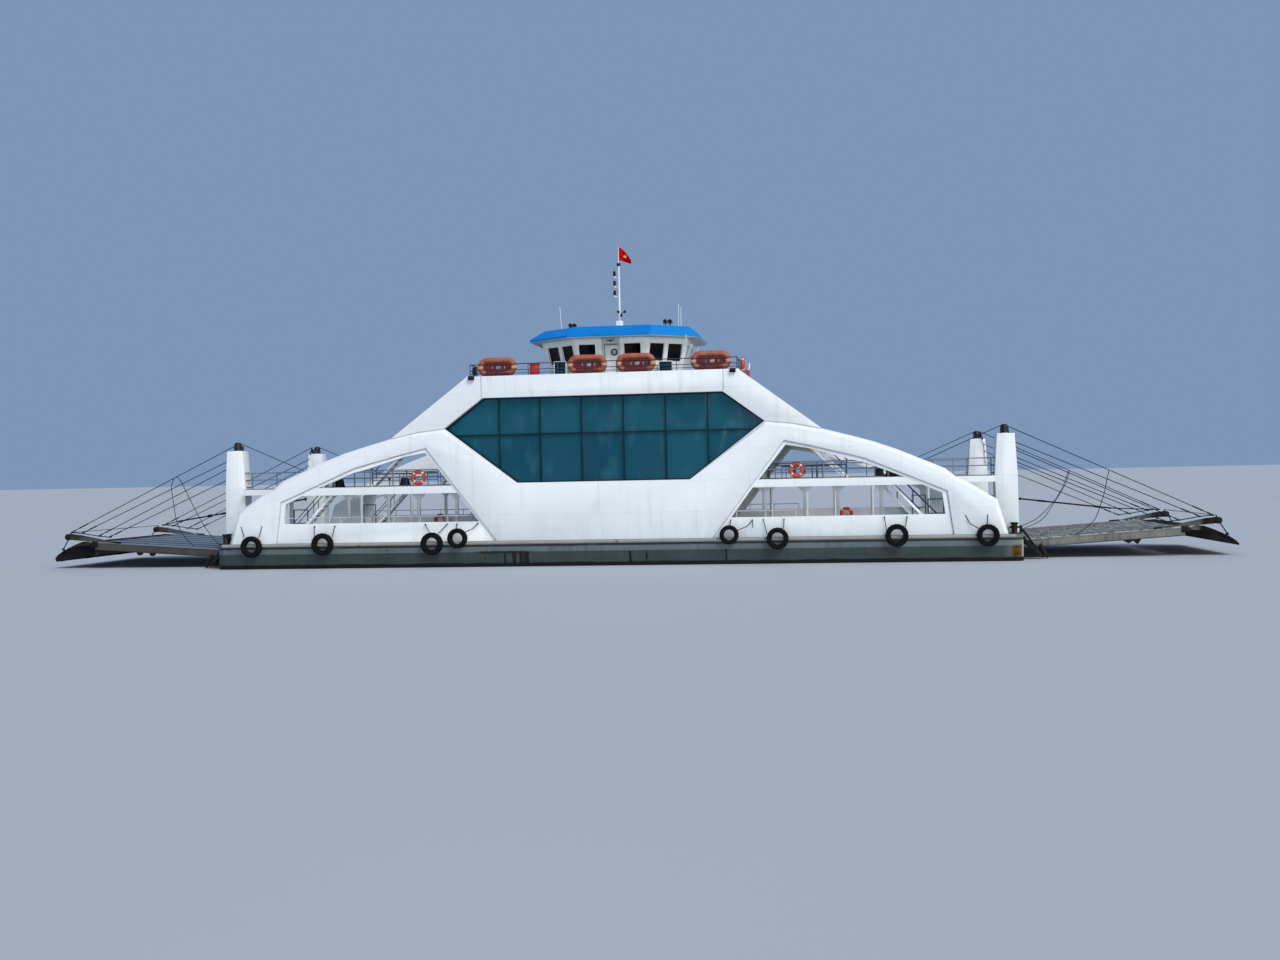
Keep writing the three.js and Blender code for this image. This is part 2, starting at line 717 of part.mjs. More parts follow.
// Upper side deck with its stair well, columns, haunches and railings.
function walkway() {
  const { top, underside, inner, outer, end } = WALKWAY;
  const slab = plateXY(
    [
      [WALKWAY_START, -outer],
      [WALKWAY_STEP.x, -outer],
      [WALKWAY_STEP.x, -WALKWAY_STEP.outer],
      [end, -WALKWAY_STEP.outer],
      [end, -inner],
      [WALKWAY_START, -inner],
    ],
    underside,
    top,
  );
  const well = box(
    STAIR_WELL.low,
    STAIR_WELL.high,
    -STAIR.outer - STAIR_WELL.side,
    -STAIR.inner + STAIR_WELL.side,
    underside - 1,
    top + 1,
  );
  const posts = COLUMNS_X.flatMap((x) => {
    const { y, radius, haunch, haunchHalf } = COLUMN;
    const bracket = plateXZ(
      [
        [x - haunch, underside + 0.02],
        [x, underside - haunch],
        [x + haunch, underside + 0.02],
      ],
      -y - haunchHalf,
      -y + haunchHalf,
    );
    return [rodZ(x, -y, radius, DECK_TOP, underside + 0.02, 6), bracket];
  });
  const heights = RAIL.heights.map((height) => top + height);
  const start = CASING.galleryHalf + 0.1;
  const innerRail = railAlong(start, end, top - 0.02, heights, 4, -inner - RAIL.thick);
  const outerRail = railAlong(start, WALKWAY_STEP.x - RAIL.thick, top - 0.02, heights, 3, -outer);
  return join([slab.subtract(well), ...posts, innerRail, outerRail]);
}

// Steps that rise inboard from foot to head.
function flight({ foot, head, steps }, low, high) {
  const run = (foot - head) / steps;
  const rise = (high - low) / steps;
  const points = [[foot, low]];
  for (let i = 0; i < steps; i++) {
    points.push([foot - i * run, low + (i + 1) * rise]);
    points.push([foot - (i + 1) * run, low + (i + 1) * rise]);
  }
  points.push([head, high - rise - STAIR.tread]);
  points.push([foot - run, low]);
  return plateXZ(points.reverse(), -STAIR.outer, -STAIR.inner);
}

function stairs() {
  const landing = WALKWAY.top + GAP;
  const lower = flight(LOWER_STAIR, DECK_TOP, landing + STAIR.landing);
  const upper = flight(UPPER_STAIR, landing, LOUNGE.floor);
  const strip = box(
    UPPER_STAIR.foot - 0.1,
    LOWER_STAIR.head + 0.1,
    -STAIR.outer,
    -STAIR.inner,
    landing,
    landing + STAIR.landing,
  );
  return join([lower, strip, upper]);
}

// Ramp tower with its dark sheave head and the pivot of the hoist wires.
function tower() {
  const points = TOWER_SECTIONS.flatMap(([z, inboard, outboard]) =>
    [TOWER.inner, TOWER.outer].flatMap((y) => [
      [inboard, -y, z],
      [outboard, -y, z],
    ]),
  );
  const { x, y, radius, top, round } = TOWER_HEAD;
  const profile = [
    [0, TOWER.top - 0.05],
    [radius, TOWER.top - 0.05],
    [radius, top - round],
    [radius * 0.6, top],
    [0, top],
  ].map(([r, z]) => new THREE.Vector2(r, z));
  const head = new THREE.LatheGeometry(profile, 10);
  head.rotateX(Math.PI / 2);
  head.translate(x, -y, 0);
  const low = hullOfPoints(points.slice(0, 8));
  const high = hullOfPoints(points.slice(4));
  const pinEnd = HOIST.y + HOIST.half + PIN_GAP;
  const pin = rodY(HOIST.pivotX, HOIST.pivotZ, HOIST.pin, -TOWER.inner - 0.05, -pinEnd);
  const cheekLow = TOWER.top - CHEEK.sink;
  const cheekHigh = HOIST.pivotZ + CHEEK.overPivot;
  const cheek = box(CHEEK.start, CHEEK.end, -CHEEK.outer, -TOWER.inner, cheekLow, cheekHigh);
  return join([low, high, solid(head), cheek, pin]);
}

// The wires of one corner lie in one plane beside the ramp, between a head strap and a foot bar.
function hoistWires() {
  const y0 = -HOIST.y - HOIST.half;
  const y1 = -HOIST.y + HOIST.half;
  const wires = HOIST_WIRES.map(([x0, z0, x1, z1]) => bar([x0, z0], [x1, z1], HOIST.wire, y0, y1));
  const first = HOIST_WIRES[0];
  const last = HOIST_WIRES[HOIST_WIRES.length - 1];
  const head = [HOIST.pivotX - 0.05, first[1] + 0.08];
  const strap = bar(head, [last[0], last[1] - 0.06], HOIST_BARS.strap, y0, y1);
  const tip = [first[2] + 0.06, first[3] + 0.01];
  const foot = bar(tip, [last[2] - 0.1, last[3] - 0.03], HOIST_BARS.foot, y0, y1);
  return join([strap, foot, ...wires]);
}

function ramp(end) {
  const { halfWidth, length, plateTop, plateBottom, girderBottom, girderWidth, barrel } = RAMP;
  const pieces = [
    box(0.02, length, -halfWidth, halfWidth, plateBottom, plateTop),
    rodY(0, 0, barrel, -halfWidth, halfWidth),
    box(0, RAMP.heelLength, -halfWidth + 0.05, halfWidth - 0.05, RAMP.heelBottom, plateTop - 0.02),
  ];
  const beamReach = halfWidth - 0.1;
  const beamLow = plateBottom - RAMP.beamDepth;
  for (let i = 1; i <= RAMP.beams; i++) {
    const x = (i * length) / (RAMP.beams + 0.5);
    pieces.push(
      box(x - RAMP.beamHalf, x + RAMP.beamHalf, -beamReach, beamReach, beamLow, plateBottom + 0.03),
    );
  }
  for (const side of [1, -1]) {
    const ys = (low, high) => between(side * low, side * high);
    const [g0, g1] = ys(halfWidth - girderWidth, halfWidth);
    pieces.push(box(0, length, g0, g1, girderBottom, plateTop - 0.01));
    if (end === "fore") {
      pieces.push(plateXZ(RAMP_FOOT, g0, g1));
    } else {
      pieces.push(plateXZ(RAMP_SKIRT, g0, g1));
      pieces.push(...RAMP_PAD.xs.map((x) => rodY(x, girderBottom, RAMP_PAD.radius, g0, g1, 12)));
    }
    const [a0, a1] = ys(ARM.inner, halfWidth);
    pieces.push(plateXZ(RAMP_ARM, a0, a1));
    const [r0, r1] = ys(ARM.inner - ROLLER.overhang, halfWidth + ROLLER.overhang);
    pieces.push(rodY(ROLLER.x, ROLLER.z, ROLLER.radius, r0, r1, 10));
    const [p0, p1] = ys(halfWidth - 0.1, HOIST.y - HOIST.half - PIN_GAP);
    pieces.push(rodY(ARM.pinX, ARM.pinZ, HOIST.pin, p0, p1, 8));
  }
  const lugEnd = FLAP_AXIS.x - FLAP_AXIS.radius - PIN_GAP;
  for (const y of FLAP_LUGS_Y) {
    const { lugHalf, lugLow, lugHigh } = FLAP;
    pieces.push(box(length - 0.1, lugEnd, y - lugHalf, y + lugHalf, lugLow, lugHigh));
  }
  return join(pieces);
}

function rampFlap(end) {
  const { halfWidth } = FLAP;
  const pieces = [plateXZ(FLAP_OUTLINE, -halfWidth, halfWidth)];
  if (end === "aft") {
    pieces.push(plateXZ(FLAP_LIP, -halfWidth, halfWidth));
    pieces.push(
      ...FLAP_WEBS_Y.map((y) => plateXZ(FLAP_WEB, y - FLAP_WEB_HALF, y + FLAP_WEB_HALF)),
    );
  }
  const room = FLAP.lugHalf + FLAP.lugRoom;
  const notches = FLAP_LUGS_Y.map((y) =>
    box(RAMP.length - 0.05, FLAP.notchEnd, y - room, y + room, -0.5, 0.5),
  );
  const pin = rodY(FLAP_AXIS.x, FLAP_AXIS.z, FLAP_AXIS.radius, -halfWidth, halfWidth);
  return cut(join(pieces), notches).add(pin);
}

// Corners of an eight-sided plan at one height.
function octagon({ sideX, sideY, endX, endY }, scale, shrink, z) {
  const sx = sideX * scale - shrink * 0.4;
  const sy = sideY * scale - shrink;
  const ex = endX * scale - shrink;
  const ey = endY * scale - shrink * 0.4;
  return [1, -1].flatMap((a) =>
    [1, -1].flatMap((b) => [
      [a * sx, b * sy, z],
      [a * ex, b * ey, z],
    ]),
  );
}

function houseShell(shrink, low, high) {
  return hullOfPoints([
    ...octagon(HOUSE, HOUSE_FOOT_SCALE, shrink, low),
    ...octagon(HOUSE, 1, shrink, high),
  ]);
}

function wheelhouse() {
  const { foot, top, thick } = HOUSE_WALL;
  const outer = houseShell(0, foot, top);
  const inner = hullOfPoints([
    ...octagon(HOUSE, HOUSE_FOOT_SCALE, thick, foot - 0.001),
    ...octagon(HOUSE, 1, thick, top + 0.001),
  ]);
  const walls = outer.subtract(inner);
  const cases = [];
  const cuts = [];
  for (const side of [1, -1]) {
    const ys = (low, high) => between(side * low, side * high);
    const [c0, c1] = ys(DOOR.outer - DOOR.thick - 0.05, HOUSE.sideY);
    cases.push(box(-DOOR_CASE.half, DOOR_CASE.half, c0, c1, foot, DOOR_CASE.top).intersect(outer));
    const clear = DOOR.half + DOOR.clear;
    cuts.push(box(-clear, clear, ...ys(2, 4), DOOR.low - DOOR.clear, DOOR.high + DOOR.clear));
    for (const x of SIDE_WINDOWS_X) {
      const half = SIDE_WINDOW.width / 2;
      cuts.push(box(side * x - half, side * x + half, ...ys(2, 4), SIDE_WINDOW.low, HOUSE_WINDOW.high));
    }
  }
  const middle = (HOUSE_WINDOW.low + HOUSE_WINDOW.high) / 2;
  const height = HOUSE_WINDOW.high - HOUSE_WINDOW.low;
  const scale = HOUSE_WINDOW_SCALE / 2;
  const centre = [(HOUSE.sideX + HOUSE.endX) * scale, (HOUSE.sideY + HOUSE.endY) * scale];
  const turn = Math.atan2(HOUSE.sideY - HOUSE.endY, HOUSE.endX - HOUSE.sideX);
  for (const [, end] of ENDS) {
    for (const [, side] of SIDES) {
      for (const along of DIAGONAL_WINDOWS) {
        const pane = new THREE.BoxGeometry(DIAGONAL_WINDOW_WIDTH, HOUSE_WINDOW.depth, height);
        pane.translate(along, 0, 0);
        pane.rotateZ(-turn * end * side);
        pane.translate(centre[0] * end, centre[1] * side, middle);
        cuts.push(solid(pane));
      }
    }
    for (const y of END_WINDOW.ys) {
      const half = END_WINDOW.width / 2;
      const [x0, x1] = between(end * 2.8, end * 4.5);
      cuts.push(box(x0, x1, y - half, y + half, HOUSE_WINDOW.low, HOUSE_WINDOW.high));
    }
  }
  return cut(join([walls, ...cases]), cuts);
}

// One band of glass inside the wheelhouse wall, open at the doors.
function wheelhouseGlass() {
  const low = HOUSE_WINDOW.low - HOUSE_WINDOW.lap;
  const high = DOOR_CASE.top + HOUSE_WINDOW.lap;
  const outside = HOUSE_WALL.thick + 0.001;
  const inside = outside + HOUSE_WINDOW.glass;
  const band = houseShell(outside, HOUSE_WALL.foot, HOUSE_WALL.top).subtract(
    hullOfPoints([
      ...octagon(HOUSE, HOUSE_FOOT_SCALE, inside, HOUSE_WALL.foot - 0.001),
      ...octagon(HOUSE, 1, inside, HOUSE_WALL.top + 0.001),
    ]),
  );
  const reach = HOUSE.endX + 1;
  const half = DOOR_CASE.half + 0.01;
  const doorway = box(-half, half, -reach, reach, low - 1, DOOR_CASE.top + 0.01);
  return band.intersect(box(-reach, reach, -reach, reach, low, high)).subtract(doorway);
}

function wheelhouseDoor() {
  const { half, low, high, outer, thick } = DOOR;
  const hinge = DOOR.hinge;
  const x = -half - DOOR.clear + PIN_GAP + hinge;
  const knuckles = DOOR_KNUCKLES_Z.map((z) => rodZ(x, -outer - 0.01, hinge, z, z + 0.15, 8));
  return join([box(-half, half, -outer, -outer + thick, low, high), ...knuckles]);
}

function wheelhouseRoof() {
  const eave = [...octagon(EAVE, 1, 0, EAVE.low), ...octagon(EAVE, 1, 0, EAVE.high)];
  return hullOfPoints([...eave, ...octagon(ROOF_TOP, 1, 0, ROOF_TOP.high)]);
}

function mast() {
  const { foot, top, radius, staffTop } = MAST;
  const pieces = [
    box(-PEDESTAL.half, PEDESTAL.half, -PEDESTAL.half, PEDESTAL.half, foot, PEDESTAL.top),
    rodZ(0, 0, radius, foot, top),
    rodZ(0, 0, MASTHEAD.radius, top - MASTHEAD.sink, top + MASTHEAD.high),
    rodZ(0, 0, STAFF_RADIUS, top, staffTop, 6),
  ];
  const { reach, arm } = MAST_LAMP;
  for (const z of MAST_ARMS_Z) {
    pieces.push(box(-reach, 0, -arm, arm, z - arm, z + arm));
    pieces.push(rodZ(-MAST_LAMP.x, 0, MAST_LAMP.radius, z, z + MAST_LAMP.high, 6));
  }
  return join(pieces);
}

const flag = () => plateXZ(FLAG_OUTLINE, -0.015, 0.015);

// Oval life floats standing on edge in one rack.
function lifeFloats() {
  const foot = BRIDGE_DECK.top + GAP;
  const centre = foot + FLOAT_RACK.lap + FLOAT.half;
  const stadium = (x, halfLength, half) => {
    const reach = halfLength - half;
    const shape = new THREE.Shape();
    shape.absarc(x + reach, centre, half, -Math.PI / 2, Math.PI / 2);
    shape.absarc(x - reach, centre, half, Math.PI / 2, (3 * Math.PI) / 2);
    return shape.getPoints(3).map((p) => [p.x, p.y]);
  };
  const gap = FLOAT.half - FLOAT.inner;
  const y0 = -FLOAT.y - FLOAT.thick / 2;
  const floorHalf = FLOAT.floor / 2;
  const floorLength = FLOAT.halfLength - gap / 2;
  const floorLow = centre - FLOAT.inner - FLOAT.lap;
  const floorHigh = centre + FLOAT.inner + FLOAT.lap;
  const pieces = FLOATS_X.flatMap((x) => {
    const outline = stadium(x, FLOAT.halfLength, FLOAT.half);
    const inside = stadium(x, FLOAT.halfLength - gap, FLOAT.inner);
    const floorY = [-FLOAT.y - floorHalf, -FLOAT.y + floorHalf];
    return [
      plateXZ(outline, y0, y0 + FLOAT.thick, [inside]),
      box(x - floorLength, x + floorLength, ...floorY, floorLow, floorHigh),
    ];
  });
  const reach = FLOATS_X[3] + FLOAT_RACK.over;
  const { halfWidth, lap } = FLOAT_RACK;
  pieces.push(box(-reach, reach, -FLOAT.y - halfWidth, -FLOAT.y + halfWidth, foot, foot + 2 * lap));
  return join(pieces);
}

function bridgeRail() {
  const { x, y, low, mid, top, bays } = BRIDGE_RAIL;
  const heights = [mid, top];
  return join([
    railAlong(-x, x, low, heights, bays, -y),
    railAlong(-x, x, low, heights, bays, y - RAIL.thick),
    railAcross(-y, y, low, heights, bays, -x),
    railAcross(-y, y, low, heights, bays, x - RAIL.thick),
  ]);
}

function propeller() {
  const { hub, hubHalf, blades, thick } = PROPELLER;
  const pieces = [rodX(0, 0, hub, -hubHalf, hubHalf, 10)];
  for (let i = 0; i < blades; i++) {
    const geometry = extruded(BLADE_OUTLINE, thick);
    geometry.translate(0, 0, -thick / 2);
    geometry.rotateX(Math.PI / 2);
    geometry.rotateZ(PROPELLER.pitch);
    geometry.rotateX((i * 2 * Math.PI) / blades);
    pieces.push(solid(geometry));
  }
  return join(pieces);
}

function rudder() {
  const { x, top, bottom, ahead, behind, half, stock } = RUDDER;
  const rise = (HULL.rakeEnd - HULL.keel) / (HULL.halfLength - HULL.rakeStart);
  const shellAtStock = HULL.rakeEnd - (HULL.halfLength - x + stock) * rise;
  const blade = plateXY(
    [
      [-ahead, 0],
      [-ahead * 0.6, -half],
      [behind, -half * 0.3],
      [behind, half * 0.3],
      [-ahead * 0.6, half],
    ],
    bottom,
    top,
  );
  return blade.add(rodZ(0, 0, stock, top - 0.1, shellAtStock - PIN_GAP, 12));
}

function winch() {
  const { half, base, baseHigh, axle, drum, frame } = WINCH;
  const foot = WALKWAY.top + GAP;
  const pieces = [
    box(-base, base, -half, half, foot, foot + baseHigh),
    rodY(0, foot + axle, drum, -half, half, 10),
  ];
  const outline = WINCH_FRAME.map(([x, z]) => [x, foot + z]);
  for (const y of [-half, half - frame]) {
    pieces.push(plateXZ(outline, y, y + frame));
  }
  return join(pieces);
}

add("hull", hull(), "hull");
add("lounge_floor", loungeFloor(), "white");
add("lounge_seats", loungeSeats(), "seat");
add("bridge_deck", bridgeDeck(), "deck");
add("wheelhouse", wheelhouse(), "white");
add("wheelhouse_glass", wheelhouseGlass(), "glass");
add("wheelhouse_roof", wheelhouseRoof(), "blue");
add("mast", mast(), "white");
add("flag", flag(), "red");
add("bridge_rail", bridgeRail(), "white");

for (const [side, sideSign] of SIDES) {
  add("fender_line_" + side, fenderLine(), "rubber", 1, sideSign);
  add("side_wall_" + side, sideWall(), "white", 1, sideSign);
  add("lounge_side_" + side, loungeSide(), "white", 1, sideSign);
  add("lounge_glass_" + side, loungeGlass(), "glass", 1, sideSign);
  add("casing_" + side, casing(), "white", 1, sideSign);
  add("life_floats_" + side, lifeFloats(), "orange", 1, sideSign);
  add("wheelhouse_door_" + side, wheelhouseDoor(), "white", sideSign, sideSign);
}

for (const [end, endSign] of ENDS) {
  add("lounge_end_" + end, loungeEnd(), "white", endSign);
  for (const [side, sideSign] of SIDES) {
    const corner = end + "_" + side;
    add("opening_frame_" + corner, openingFrame(), "white", endSign, sideSign);
    add("walkway_" + corner, walkway(), "white", endSign, sideSign);
    add("stairs_" + corner, stairs(), "deck", endSign, sideSign);
    add("tower_" + corner, tower(), "white", endSign, sideSign);
    add("hoist_wires_" + corner, hoistWires(), "wire", endSign, sideSign);
    const winchPlace = new THREE.Group();
    winchPlace.position.set(endSign * WINCH.x, -sideSign * WINCH.y, 0);
    ferry.add(winchPlace);
    add("winch_" + corner, winch(), "dark", 1, 1, winchPlace);
  }
  const endPlace = new THREE.Group();
  endPlace.scale.x = endSign;
  ferry.add(endPlace);

  const rampPlace = new THREE.Group();
  rampPlace.position.set(RAMP.hingeX, 0, RAMP.hingeZ);
  rampPlace.rotation.y = -Math.atan(RAMP.slope);
  endPlace.add(rampPlace);
  add("ramp_" + end, ramp(end), "steel", 1, 1, rampPlace);
  add("ramp_flap_" + end, rampFlap(end), "dark", 1, 1, rampPlace);

  const propellerPlace = new THREE.Group();
  propellerPlace.position.set(PROPELLER.x, 0, PROPELLER.z);
  endPlace.add(propellerPlace);
  add("propeller_" + end, propeller(), "bronze", 1, 1, propellerPlace);

  const rudderPlace = new THREE.Group();
  rudderPlace.position.set(RUDDER.x, 0, 0);
  endPlace.add(rudderPlace);
  add("rudder_" + end, rudder(), "hull", 1, 1, rudderPlace);
}

ferry.scale.setScalar(MODEL_MM_PER_SHIP_METRE);

export default ferry;
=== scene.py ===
# %% [markdown]
# A double-ended car ferry at half of its real size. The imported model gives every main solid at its
# place. This script finishes those solids, swaps a few for finer ones, adds trim and rigging, and
# sets the light and the camera. All lengths below are the real ship's, in metres. A piece is modelled
# at the ship's size and brought down to the model's size once, when it is finished, because the
# ship's own figures are easier to picture than halved ones.

# %% Load the frame
import json
import math
from contextlib import contextmanager

import bmesh
import bpy
from mathutils import Matrix, Vector

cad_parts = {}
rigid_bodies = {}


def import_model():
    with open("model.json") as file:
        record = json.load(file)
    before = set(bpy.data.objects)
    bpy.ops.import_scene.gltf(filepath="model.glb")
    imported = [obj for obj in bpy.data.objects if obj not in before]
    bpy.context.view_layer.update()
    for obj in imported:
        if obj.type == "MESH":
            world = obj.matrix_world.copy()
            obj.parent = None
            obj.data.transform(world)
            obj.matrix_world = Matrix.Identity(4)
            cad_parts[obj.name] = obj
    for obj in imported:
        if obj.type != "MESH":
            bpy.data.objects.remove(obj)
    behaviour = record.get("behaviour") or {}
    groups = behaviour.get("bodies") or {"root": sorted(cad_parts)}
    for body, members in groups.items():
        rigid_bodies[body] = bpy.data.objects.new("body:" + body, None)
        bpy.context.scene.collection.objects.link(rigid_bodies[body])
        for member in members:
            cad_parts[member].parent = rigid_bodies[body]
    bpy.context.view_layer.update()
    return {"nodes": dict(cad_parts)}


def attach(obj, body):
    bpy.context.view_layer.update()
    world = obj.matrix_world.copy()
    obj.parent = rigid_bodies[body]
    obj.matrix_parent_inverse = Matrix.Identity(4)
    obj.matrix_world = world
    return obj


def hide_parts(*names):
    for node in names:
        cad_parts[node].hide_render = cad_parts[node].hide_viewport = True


SCALE = 0.5
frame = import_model()

# %% [markdown]
# The camera stands low, a little right of amidships, and looks slightly back to the left. Its place
# and turn were fitted to the ship's corners, so it is built from three turns and the lens that the
# fit gave. A camera's own axes are right, up and backwards.

# %% Camera
PICTURE_WIDTH = 1280
SENSOR_WIDTH = 36
FOCAL_LENGTH_PIXELS = 1314.684
CAMERA_PLACE = Vector((10.3205, -70.4256, 4.3745))
CAMERA_YAW = math.radians(-7.5932)
CAMERA_PITCH = math.radians(-0.194)
CAMERA_ROLL = math.radians(-1.156)


def add_camera():
    aside, forward = math.sin(CAMERA_YAW), math.cos(CAMERA_YAW)
    near, rise = math.cos(CAMERA_PITCH), math.sin(CAMERA_PITCH)
    ahead = Vector((aside * near, forward * near, rise))
    level = Vector((forward, -aside, 0))
    above = level.cross(ahead)
    right = math.cos(CAMERA_ROLL) * level + math.sin(CAMERA_ROLL) * above
    up = -math.sin(CAMERA_ROLL) * level + math.cos(CAMERA_ROLL) * above
    turn = Matrix((right, up, -ahead)).transposed()
    bpy.ops.object.camera_add(location=CAMERA_PLACE * SCALE, rotation=turn.to_euler())
    camera = bpy.context.object
    camera.data.sensor_width = SENSOR_WIDTH
    camera.data.lens = FOCAL_LENGTH_PIXELS / PICTURE_WIDTH * SENSOR_WIDTH
    camera.data.clip_end = 3000
    bpy.context.scene.camera = camera
    return camera


camera = add_camera()
print("lens", round(camera.data.lens, 2), "mm")

# %% [markdown]
# Shader maths is easier to read as a formula than as a web of boxes. A Surface wraps one value in a
# material, and sums and products of it add the Math nodes. A Finish holds the material, gives the
# ship's coordinates in metres, and has one method for any other node. Coordinates are the object's
# own, so a pattern stays on a ramp when the ramp moves.


# %% Shader values and finishes
def maths(operation, turned=False):
    """A method that adds one Math node to a Surface and a second value."""

    def method(self, other=0.0):
        pair = (other, self) if turned else (self, other)
        return self.finish.node("ShaderNodeMath", {"operation": operation}, dict(enumerate(pair)))

    return method


class Surface:
    """A value or colour that changes over a surface."""

    def __init__(self, finish, socket):
        self.finish = finish
        self.socket = socket

    __add__ = __radd__ = maths("ADD")
    __mul__ = maths("MULTIPLY")
    __sub__ = maths("SUBTRACT")
    __rsub__ = maths("SUBTRACT", turned=True)
    __truediv__ = maths("DIVIDE")
    __abs__ = maths("ABSOLUTE")
    fraction = maths("FRACT")
    whole = maths("FLOOR")
    least = maths("MINIMUM")
    most = maths("MAXIMUM")

    def ramp(self, start, end):
        """0 up to start and 1 from end on, whichever of the two is larger."""
        low, high, values = (start, end, (0, 1)) if start < end else (end, start, (1, 0))
        inputs = {"Value": self, "From Min": low, "From Max": high, "To Min": values[0], "To Max": values[1]}
        return self.finish.node("ShaderNodeMapRange", {"interpolation_type": "SMOOTHSTEP"}, inputs)

    def inside(self, low, high, soft):
        return self.ramp(low - soft, low + soft) * self.ramp(high + soft, high - soft)


class Finish:
    """One material, with what varies over it written as Surface formulas."""

    def __init__(self, name, colour, roughness, metallic=0.0, fixed=None):
        self.material = bpy.data.materials.new(name)
        self.material.use_nodes = True
        self.tree = self.material.node_tree
        self.shader = self.tree.nodes["Principled BSDF"]
        self.colour = colour
        self.set("Base Color", colour)
        self.set("Roughness", roughness)
        self.set("Metallic", metallic)
        for socket, value in (fixed or {}).items():
            self.set(socket, value)
        found = self.tree.nodes.new("ShaderNodeTexCoord")
        own = Surface(self, found.outputs["Object"])
        self.place = self.node(
            "ShaderNodeVectorMath", {"operation": "SCALE"}, {"Vector": own, "Scale": 1 / SCALE}
        )

    def _give(self, socket, value):
        if isinstance(value, Surface):
            self.tree.links.new(value.socket, socket)
        elif isinstance(value, tuple) and len(value) == 3 and socket.type == "RGBA":
            socket.default_value = (*value, 1)
        else:
            socket.default_value = value

    def set(self, socket, value):
        self._give(self.shader.inputs[socket], value)

    def node(self, kind, settings, inputs, output=0):
        made = self.tree.nodes.new(kind)
        for setting, value in settings.items():
            setattr(made, setting, value)
        for socket, value in inputs.items():
            self._give(made.inputs[socket], value)
        return Surface(self, made.outputs[output])

    def axes(self):
        split = self.tree.nodes.new("ShaderNodeSeparateXYZ")
        self.tree.links.new(self.place.socket, split.inputs[0])
        return [Surface(self, split.outputs[i]) for i in range(3)]

    def noise(self, size, detail=3, stretch=(1, 1, 1)):
        """Cloudy noise with patches of about that size, in metres, longer where stretch is under 1."""
        where = self.place
        if stretch != (1, 1, 1):
            where = self.node("ShaderNodeVectorMath", {"operation": "MULTIPLY"}, {0: where, 1: stretch})
        return self.node("ShaderNodeTexNoise", {}, {"Vector": where, "Scale": 1 / size, "Detail": detail})

    def blend(self, factor, under, over):
        return self.node("ShaderNodeMix", {"data_type": "RGBA"}, {0: factor, 6: under, 7: over}, output=2)

    def coat(self, factor, tone):
        """Lays a tone over the colour made so far."""
        self.colour = self.blend(factor, self.colour, tone)
        self.set("Base Color", self.colour)

    def relief(self, height, depth):
        """Bumps of that depth in metres where height goes from 0 to 1."""
        self.set("Normal", self.node("ShaderNodeBump", {}, {"Height": height, "Distance": depth * SCALE}))


def seam_lines(value, pitch, width):
    """1 on thin lines that repeat at that pitch, 0 between them."""
    away = (0.5 - abs((value / pitch).fraction() - 0.5)) * pitch
    return away.ramp(width, width * 0.3)


print("shader tools ready")

# %% [markdown]
# White ship enamel is never plain. Rain draws long grey streaks down it, the foot of each wall is
# dirtier, the welded plates show as faint lines, and a little rust runs from edges. The plates also
# wave gently between their frames, which breaks up the reflections.

# %% White enamel
WHITE = (0.85, 0.87, 0.855)
STREAK = (0.47, 0.47, 0.44)
RUST = (0.23, 0.085, 0.028)
DARK_RUST = (0.07, 0.03, 0.016)
NEARLY_BLACK = (0.012, 0.012, 0.014)
PLATE_LENGTH = 2.4
PLATE_HEIGHT = 1.5


def enamel(name, tint=WHITE, streaks=0.28, rusty=0.4):
    finish = Finish(name, tint, 0.42)
    x, y, z = finish.axes()
    long_streaks = finish.noise(0.35, 4, (1, 1, 0.09)).ramp(0.5, 0.72)
    patches = finish.noise(3.2, 2).ramp(0.36, 0.68)
    near_deck = z.ramp(3.2, 1.3) * finish.noise(0.8, 4, (1, 1, 0.4)).ramp(0.42, 0.75)
    dirt = (long_streaks * patches * streaks + near_deck * 0.22).least(1.0)
    finish.coat(dirt, STREAK)
    runs = finish.noise(0.16, 3, (1, 1, 0.07)).ramp(0.66, 0.78)
    runs = runs * finish.noise(2.1, 1).ramp(0.5, 0.66) * rusty
    finish.coat(runs, RUST)
    seams = seam_lines(x, PLATE_LENGTH, 0.02).most(seam_lines(z + 0.4, PLATE_HEIGHT, 0.02))
    finish.coat(seams * 0.16, STREAK)
    finish.set("Roughness", 0.36 + dirt * 0.3)
    finish.relief(finish.noise(1.1, 1) + seams * 0.18 + dirt * 0.05, 0.02)
    return finish


TOWER_TOP = 6.07
SIDE_DECK_Z = 4.04
HEAD_BLACK = (0.003, 0.003, 0.004)


def tower_enamel():
    """The towers' lower plating is greyer, and all above their flat tops is black."""
    finish = enamel("tower_enamel")
    z = finish.axes()[2]
    finish.coat(z.ramp(SIDE_DECK_Z + 0.05, SIDE_DECK_Z + 0.01) * 0.08, STREAK)
    finish.coat(z.ramp(TOWER_TOP - 0.01, TOWER_TOP + 0.01), HEAD_BLACK)
    return finish


white = enamel("white_enamel")
tower_white = tower_enamel()
print("white enamels:", white.material.name, tower_white.material.name)
